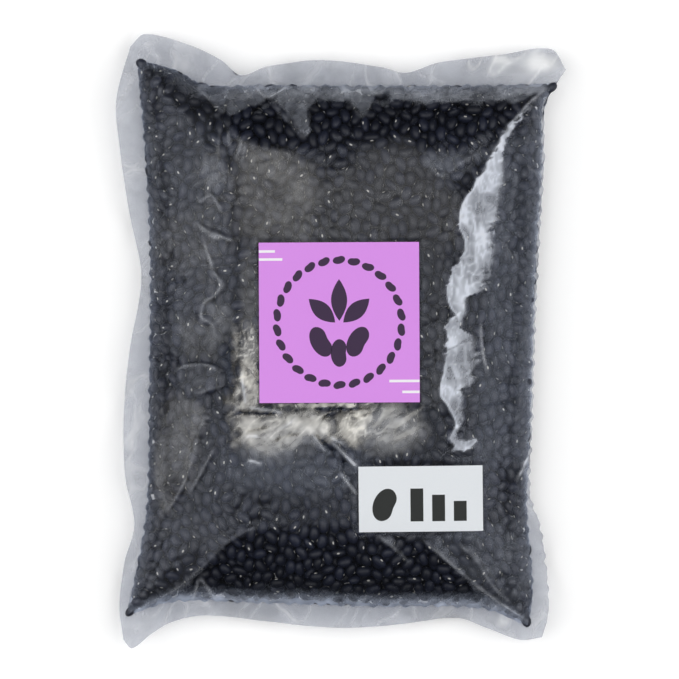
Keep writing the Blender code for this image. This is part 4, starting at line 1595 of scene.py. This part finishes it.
def film_material(name, cold, warm, roughness, tint):
    """Clear film whose points carry how milky it is, painted highlights included, and how warm that
    milk is. What isn't let through is the mirror's share plus the milk, and the metallic value is the
    mirror's part of that."""
    material = plain_material(name, cold, roughness)
    tree = material.node_tree
    shader = tree.nodes["Principled BSDF"]
    clear = tree.nodes.new("ShaderNodeBsdfTransparent")
    clear.inputs["Color"].default_value = (*tint, 1.0)
    fresnel = tree.nodes.new("ShaderNodeFresnel")
    fresnel.inputs["IOR"].default_value = FILM_INDEX
    milk, warmth = attribute_node(tree, "milk"), attribute_node(tree, "warmth")
    colour = colour_mix(tree, cold, warm)
    link(tree, warmth, "Fac", colour, "Factor")
    link_colour(tree, colour, shader)
    cover = math_node(tree, "ADD", (fresnel, "Fac"), (milk, "Fac"), True)
    share = math_node(tree, "DIVIDE", (fresnel, "Fac"), (cover, "Value"), True)
    link(tree, share, "Value", shader, "Metallic")
    mix = tree.nodes.new("ShaderNodeMixShader")
    link(tree, cover, "Value", mix, "Fac")
    link(tree, clear, "BSDF", mix, 1)
    link(tree, shader, "BSDF", mix, 2)
    link(tree, mix, "Shader", tree.nodes["Material Output"], "Surface")
    return material


FILM_SHINE, FILM_TINT = 0.20, (0.98, 0.98, 0.985)
FILM = film_material("clear_film", COLD_MILK, WARM_MILK_AND_SHEEN, FILM_SHINE, FILM_TINT)
put_film()

# %% [markdown]
# ## The margin
#
# Outside the seal both films run on together to the cut edge. That margin is greyer than the film
# over the beans, because two milky layers lie over each other, and it waves where the seal has
# drawn it short. It is two sheets that meet at the seal and again at the cut edge, bent by waves
# that grow towards the cut edge.

# %% Margin
MARGIN_ROWS = 10
MARGIN_THICKNESS = 0.0003
# height, how many waves go round the bag, and where the first starts
MARGIN_WAVES = ((0.0022, 11, 0.0), (0.0013, 23, 1.3), (0.0008, 47, 0.4))
MARGIN_GLEAMS = (
    # painted highlights: place mm, half size mm, strength
    ((126, 176), (9, 4.5), 1.3),
    ((101, 178), (5, 3), 1.0),
    ((112, 172), (34, 9), 0.5),
    ((-100, 172), (14, 5), 0.35),
    ((-133, 120), (5, 22), 0.20),
    ((-134, -60), (4, 30), 0.20),
    ((-128, -181), (8, 6), 0.35),
    ((100, -176), (22, 5), 0.30),
)


def both_loops(count=300):
    """Points round the seal and round the cut edge, anticlockwise from the bottom left, as many on
    each side. On the right, where the two nearly meet, the cut edge follows the seal's bumps."""
    share, none, whole = np.arange(count) / count, np.zeros(count), np.ones(count)
    u = np.concatenate([share, whole, 1 - share, none])
    v = np.concatenate([none, share, whole, 1 - share])
    sides = (("bottom", share), ("right", share), ("top", 1 - share), ("left", 1 - share))
    edge = np.concatenate([side_curve(EDGE, side, part) for side, part in sides])
    edge[count:2 * count, 0] += ripple(share, 1, 3)
    return bag_point(u, v), edge


def margin_height(places, out, turn, width):
    """The seal's height, plus waves of the turn round the bag times the share of the way out. Where
    the margin is narrow it has no room to wave."""
    wave = sum(tall * np.sin(count * turn + start) for tall, count, start in MARGIN_WAVES)
    fine = 0.0005 * lattice_noise(places, 0.006, 92) * np.sin(np.pi * np.clip(out, 0, 1)) ** 0.5
    return SEAL_HEIGHT + smooth_step(width / 0.008) * (out**1.6 * wave + fine)


def margin_milk_and_painted_light(places, out, width):
    """The margin's milk and its share of highlight colour. The milk is slow noise, more near the seal
    and less where the margin is narrow. Painted highlights, in streaks and gleams, are added to both."""
    milk = 0.21 + 0.05 * lattice_noise(places, 0.016, 91) + 0.08 * np.exp(-((out / 0.10) ** 2))
    milk = milk * (0.55 + 0.45 * smooth_step(width / 0.006)) + 0.04 * lattice_noise(places, 0.005, 93)
    # Streaks of painted highlight.
    streaks = 0.5 * ridges(places, 0.009, 600, 60, 2.5, 5)
    for centre, half, strength in MARGIN_GLEAMS:
        away = np.linalg.norm((1000 * places - np.array(centre)) / np.array(half), axis=-1)
        streaks = streaks + strength * np.exp(-(away**2))
    return milk + 0.35 * streaks, np.clip(streaks, 0, 1)


def ring_faces(grid):
    """Quads of a grid of point numbers whose rows are closed rings."""
    after = np.roll(grid, -1, axis=1)
    return np.stack([grid[:-1], grid[1:], after[1:], after[:-1]], axis=-1).reshape(-1, 4)


def put_margin():
    """Two sheets between the seal line and the cut edge, closed at both."""
    seal, edge = both_loops()
    count = len(seal)
    steps = np.linalg.norm(np.roll(edge, -1, 0) - edge, axis=1)
    turn = 2 * np.pi * np.cumsum(steps) / steps.sum()
    out = np.linspace(0, 1, MARGIN_ROWS)[:, None]
    places = seal + (edge - seal) * out[..., None]
    width = np.linalg.norm(edge - seal, axis=1)
    height = margin_height(places, out, turn, width)
    apart = MARGIN_THICKNESS / 2 * np.clip(4 * np.minimum(out, 1 - out), 0, 1)
    top = np.dstack([places, height + apart]).reshape(-1, 3)
    under = np.dstack([places, height - apart])[1:-1].reshape(-1, 3)
    index = np.arange(MARGIN_ROWS * count).reshape(MARGIN_ROWS, count)
    lower = np.concatenate([index[:1], index[:-2] + MARGIN_ROWS * count, index[-1:]])
    faces = [ring_faces(index), ring_faces(lower)[:, ::-1]]
    piece = put_mesh("film_margin", np.concatenate([top, under]), faces, MARGIN)
    piece.data.set_sharp_from_angle(angle=np.radians(60))
    # On the margin, warmth is the share of the painted highlight colour.
    milk, warmth = margin_milk_and_painted_light(places, out, width)
    store(piece, "milk", np.concatenate([milk.ravel(), milk[1:-1].ravel()]))
    store(piece, "warmth", np.concatenate([warmth.ravel(), warmth[1:-1].ravel()]))
    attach(piece, "root")


# The margin's second colour is that of its painted highlights.
MARGIN_COLD, MARGIN_HIGHLIGHT = (0.455, 0.475, 0.54), (0.94, 0.95, 0.96)
MARGIN_SHINE, MARGIN_TINT = 0.25, (0.87, 0.88, 0.90)
MARGIN = film_material("margin_film", MARGIN_COLD, MARGIN_HIGHLIGHT, MARGIN_SHINE, MARGIN_TINT)
put_margin()

# %% [markdown]
# ## The back of the bag
#
# The back lies flat on the table and curves up to the seal. It is plain film with a little slack,
# and it dips round the beans in the corner tips, so that they stay inside.

# %% Back film
BACK_ACROSS, BACK_ALONG = 180, 240
BACK_MILK = 0.03
TIP_POUCH = 0.0026


def put_back_film():
    """The back film as a grid over the patch, facing down, a little slack under the beans."""
    u, v = np.linspace(0, 1, BACK_ACROSS + 1)[None, :], np.linspace(0, 1, BACK_ALONG + 1)[:, None]
    places = bag_point(u, v)
    height = back_height(u, v)
    rise = smooth_step(height / SEAL_HEIGHT)
    height = height + 0.0006 * rise * lattice_noise(places, 0.008, 95)
    to_tips = np.linalg.norm(places[..., None, :] - TIP_PLAN, axis=-1)
    height = height - TIP_POUCH * np.exp(-((to_tips / TIP_STEPS[0]) ** 4)).max(axis=-1)
    for rim in SEAL_RIM:
        height[rim] = SEAL_HEIGHT
    points = np.dstack([places, height]).reshape(-1, 3)
    piece = put_mesh("back_film", points, grid_faces(BACK_ALONG + 1, BACK_ACROSS + 1)[:, ::-1], FILM)
    cloud = 1 + 0.5 * lattice_noise(places, 0.013, 96) + 0.4 * lattice_noise(places, 0.004, 97)
    store(piece, "milk", BACK_MILK * cloud)
    store(piece, "warmth", np.full(cloud.shape, 0.3))
    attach(piece, "root")


put_back_film()

# %% [markdown]
# ## The stickers
#
# The large sticker is satin lilac paper with a wreath of beans round a sprig, printed in one dark
# ink, and a few short white bars at two of its edges. The small one is white, with a bold bean and
# three bars. The print is made as thin flat shapes just above the paper, so its edges stay crisp.

# %% Sticker surfaces
LABEL_LIFT = 0.0006
PAPER = 0.00014
LABEL_CELLS = 40
LABELS = {
    "main_label": {"size": (0.0998, 0.0998), "turn": 0.3},
    "weight_label": {"size": (0.0774, 0.0409), "turn": 0.6},
}


def shares_of(places):
    """(u, v) of places, by Newton's method: the error over the patch's slopes, eight times."""
    size = filled_point(1.0, 1.0) - filled_point(0.0, 0.0)
    shares = (places - (filled_point(0.0, 0.0) + filled_point(1.0, 1.0)) / 2) / size + 0.5
    step = 1e-4
    for _ in range(8):
        u, v = shares[..., 0], shares[..., 1]
        here = filled_point(u, v)
        by_u = (filled_point(u + step, v) - here) / step
        by_v = (filled_point(u, v + step) - here) / step
        slopes = np.stack([by_u, by_v], axis=-1)
        shares = shares + np.linalg.solve(slopes, (places - here)[..., None])[..., 0]
    return shares


def on_label(node, x, y, lift):
    """Points at x and y from a sticker's middle. Their height is the front height there, plus the
    sticker's lift over it, a slow wave of the paper, and the given lift."""
    low, high = (np.array(corner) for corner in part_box(node))
    turn = np.radians(LABELS[node]["turn"])
    cos, sin = np.cos(turn), np.sin(turn)
    places = (low + high)[:2] / 2 + np.stack([x * cos - y * sin, x * sin + y * cos], axis=-1)
    shares = shares_of(places)
    wave = 0.00012 * lattice_noise(places, 0.03, 55)
    height = front_height(shares[..., 0], shares[..., 1]) + LABEL_LIFT + wave + lift
    return np.concatenate([places, height[..., None]], axis=-1)


def put_label(name, node, material):
    """A sheet of paper with its thickness: a top and a bottom grid and a wall round them."""
    half = np.array(LABELS[node]["size"]) / 2
    x, y = np.meshgrid(*(np.linspace(-side, side, LABEL_CELLS + 1) for side in half))
    points, faces = slab(*(on_label(node, x, y, lift) for lift in (PAPER, 0.0)))
    piece = put_mesh(name, points, faces, material)
    piece.data.set_sharp_from_angle(angle=np.radians(40))
    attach(piece, "root")
    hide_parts(node)


PAPER_SHINE, INK_SHINE, FIBRE = (0.42, 0.58), (0.60, 0.76), 900.0
LILAC_PAPER = speckled_material("lilac_paper", (0.67, 0.255, 0.79), 0.022, PAPER_SHINE, FIBRE)
WHITE_PAPER = speckled_material("white_paper", (0.73, 0.76, 0.79), 0.022, PAPER_SHINE, FIBRE)
put_label("lilac_label", "main_label", LILAC_PAPER)
put_label("white_label", "weight_label", WHITE_PAPER)

# %% [markdown]
# ## The print
#
# The print is bold and flat, so each shape is an outline: an oval, a bean, a leaf or a bar. It is
# filled with rings that shrink to the shape's middle, because a single large face couldn't follow
# the curve of the sticker. All shapes of one ink are one piece, a hair above the paper.

# %% Print shapes
INK_LIFT = 0.00020
RINGS_OF_PRINT = 6


def oval(centre, half, turn=0.0, dent=0.0, points=28):
    """An outline of an oval, with a dent in its lower edge when it is a bean."""
    angle = 2 * np.pi * np.arange(points) / points
    x = half[0] * np.cos(angle)
    y = half[1] * np.sin(angle) + dent * np.exp(-((x / (0.42 * half[0])) ** 2)) * (np.sin(angle) < 0)
    cos, sin = np.cos(np.radians(turn)), np.sin(np.radians(turn))
    return np.array(centre) + np.column_stack([x * cos - y * sin, x * sin + y * cos])


def leaf(base, length, width, turn, points=14):
    """An outline of a leaf: a sine's bump on each side of its midrib, pointed at both ends."""
    share = np.linspace(0, 1, points)
    bump = width / 2 * np.sin(np.pi * share) ** 0.9
    x = np.concatenate([length * share, length * share[-2:0:-1]])
    y = np.concatenate([-bump, bump[-2:0:-1]])
    cos, sin = np.cos(np.radians(turn)), np.sin(np.radians(turn))
    return np.array(base) + np.column_stack([x * cos - y * sin, x * sin + y * cos])


def bar(low, high):
    """An outline of a plain bar, with five points along each side."""
    (left, bottom), (right, top) = low, high
    corners = np.array([(left, bottom), (right, bottom), (right, top), (left, top)])
    sides = np.roll(corners, -1, axis=0) - corners
    steps = np.arange(5)[:, None] / 5
    return (corners[:, None] + steps * sides[:, None]).reshape(-1, 2)


def put_print(name, node, outlines, material):
    """Flat shapes in mm from the sticker's middle. Each outline is drawn again at smaller sizes round
    its own middle, down to one point, so that a large shape follows the curve of the sticker."""
    points, quads, fans, start = [], [], [], 0
    for outline in outlines:
        middle = outline.mean(axis=0)
        sizes = np.arange(1, RINGS_OF_PRINT + 1)[:, None, None] / RINGS_OF_PRINT
        rings = middle + sizes * (outline - middle)
        flat = np.concatenate([rings.reshape(-1, 2), middle[None]]) / 1000
        points.append(on_label(node, flat[:, 0], flat[:, 1], INK_LIFT))
        grid = start + np.arange(len(flat) - 1).reshape(RINGS_OF_PRINT, -1)
        quads.append(ring_faces(grid))
        middles = np.full(len(outline), start + len(flat) - 1)
        fans.append(np.column_stack([middles, grid[0], np.roll(grid[0], -1)]))
        start += len(flat)
    piece = put_mesh(name, np.concatenate(points), [np.concatenate(quads), np.concatenate(fans)], material)
    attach(piece, "root")


# %% The print on both stickers
WREATH = [
    oval((39 * np.cos(angle), 39 * np.sin(angle)), (3.9, 2.5), np.degrees(angle) + 90 + 14, 0.5)
    for angle in 2 * np.pi * (np.arange(26) + 0.5) / 26
]
THREE_BEANS = [
    oval((-11.5, -12), (10.0, 6.2), 118, 1.6),
    oval((11.5, -12), (10.0, 6.2), 62, 1.6),
    oval((0, -19), (8.6, 5.4), 90, 1.4),
]
THREE_LEAVES = [
    leaf((-2.5, 0), 22, 10, 138),
    leaf((2.5, 0), 22, 10, 42),
    leaf((0, 1), 26, 10, 90),
]
EDGE_BARS = [
    bar((-49.8, 43.6), (-39.8, 45.2)),
    bar((-49.8, 38.6), (-35.2, 40.2)),
    bar((31.0, -37.4), (49.8, -35.8)),
    bar((39.0, -44.2), (49.8, -42.6)),
]
BEAN_AND_BARS = [
    oval((-22.5, -3.5), (10.5, 7.2), 68, 1.6),
    bar((-6.5, -14.0), (1.5, 6.5)),
    bar((7.0, -14.0), (15.0, 2.5)),
    bar((20.5, -14.0), (28.5, -1.5)),
]
DARK_INK = speckled_material("dark_ink", (0.030, 0.008, 0.045), 0.25, INK_SHINE, FIBRE)
WHITE_INK = speckled_material("white_ink", (0.88, 0.86, 0.90), 0.03, PAPER_SHINE, FIBRE)
BLACK_INK = speckled_material("black_ink", (0.008, 0.010, 0.009), 0.25, INK_SHINE, FIBRE)
EMBLEM = WREATH + THREE_BEANS + THREE_LEAVES
put_print("lilac_label_print", "main_label", EMBLEM, DARK_INK)
put_print("lilac_label_bars", "main_label", EDGE_BARS, WHITE_INK)
put_print("white_label_print", "weight_label", BEAN_AND_BARS, BLACK_INK)
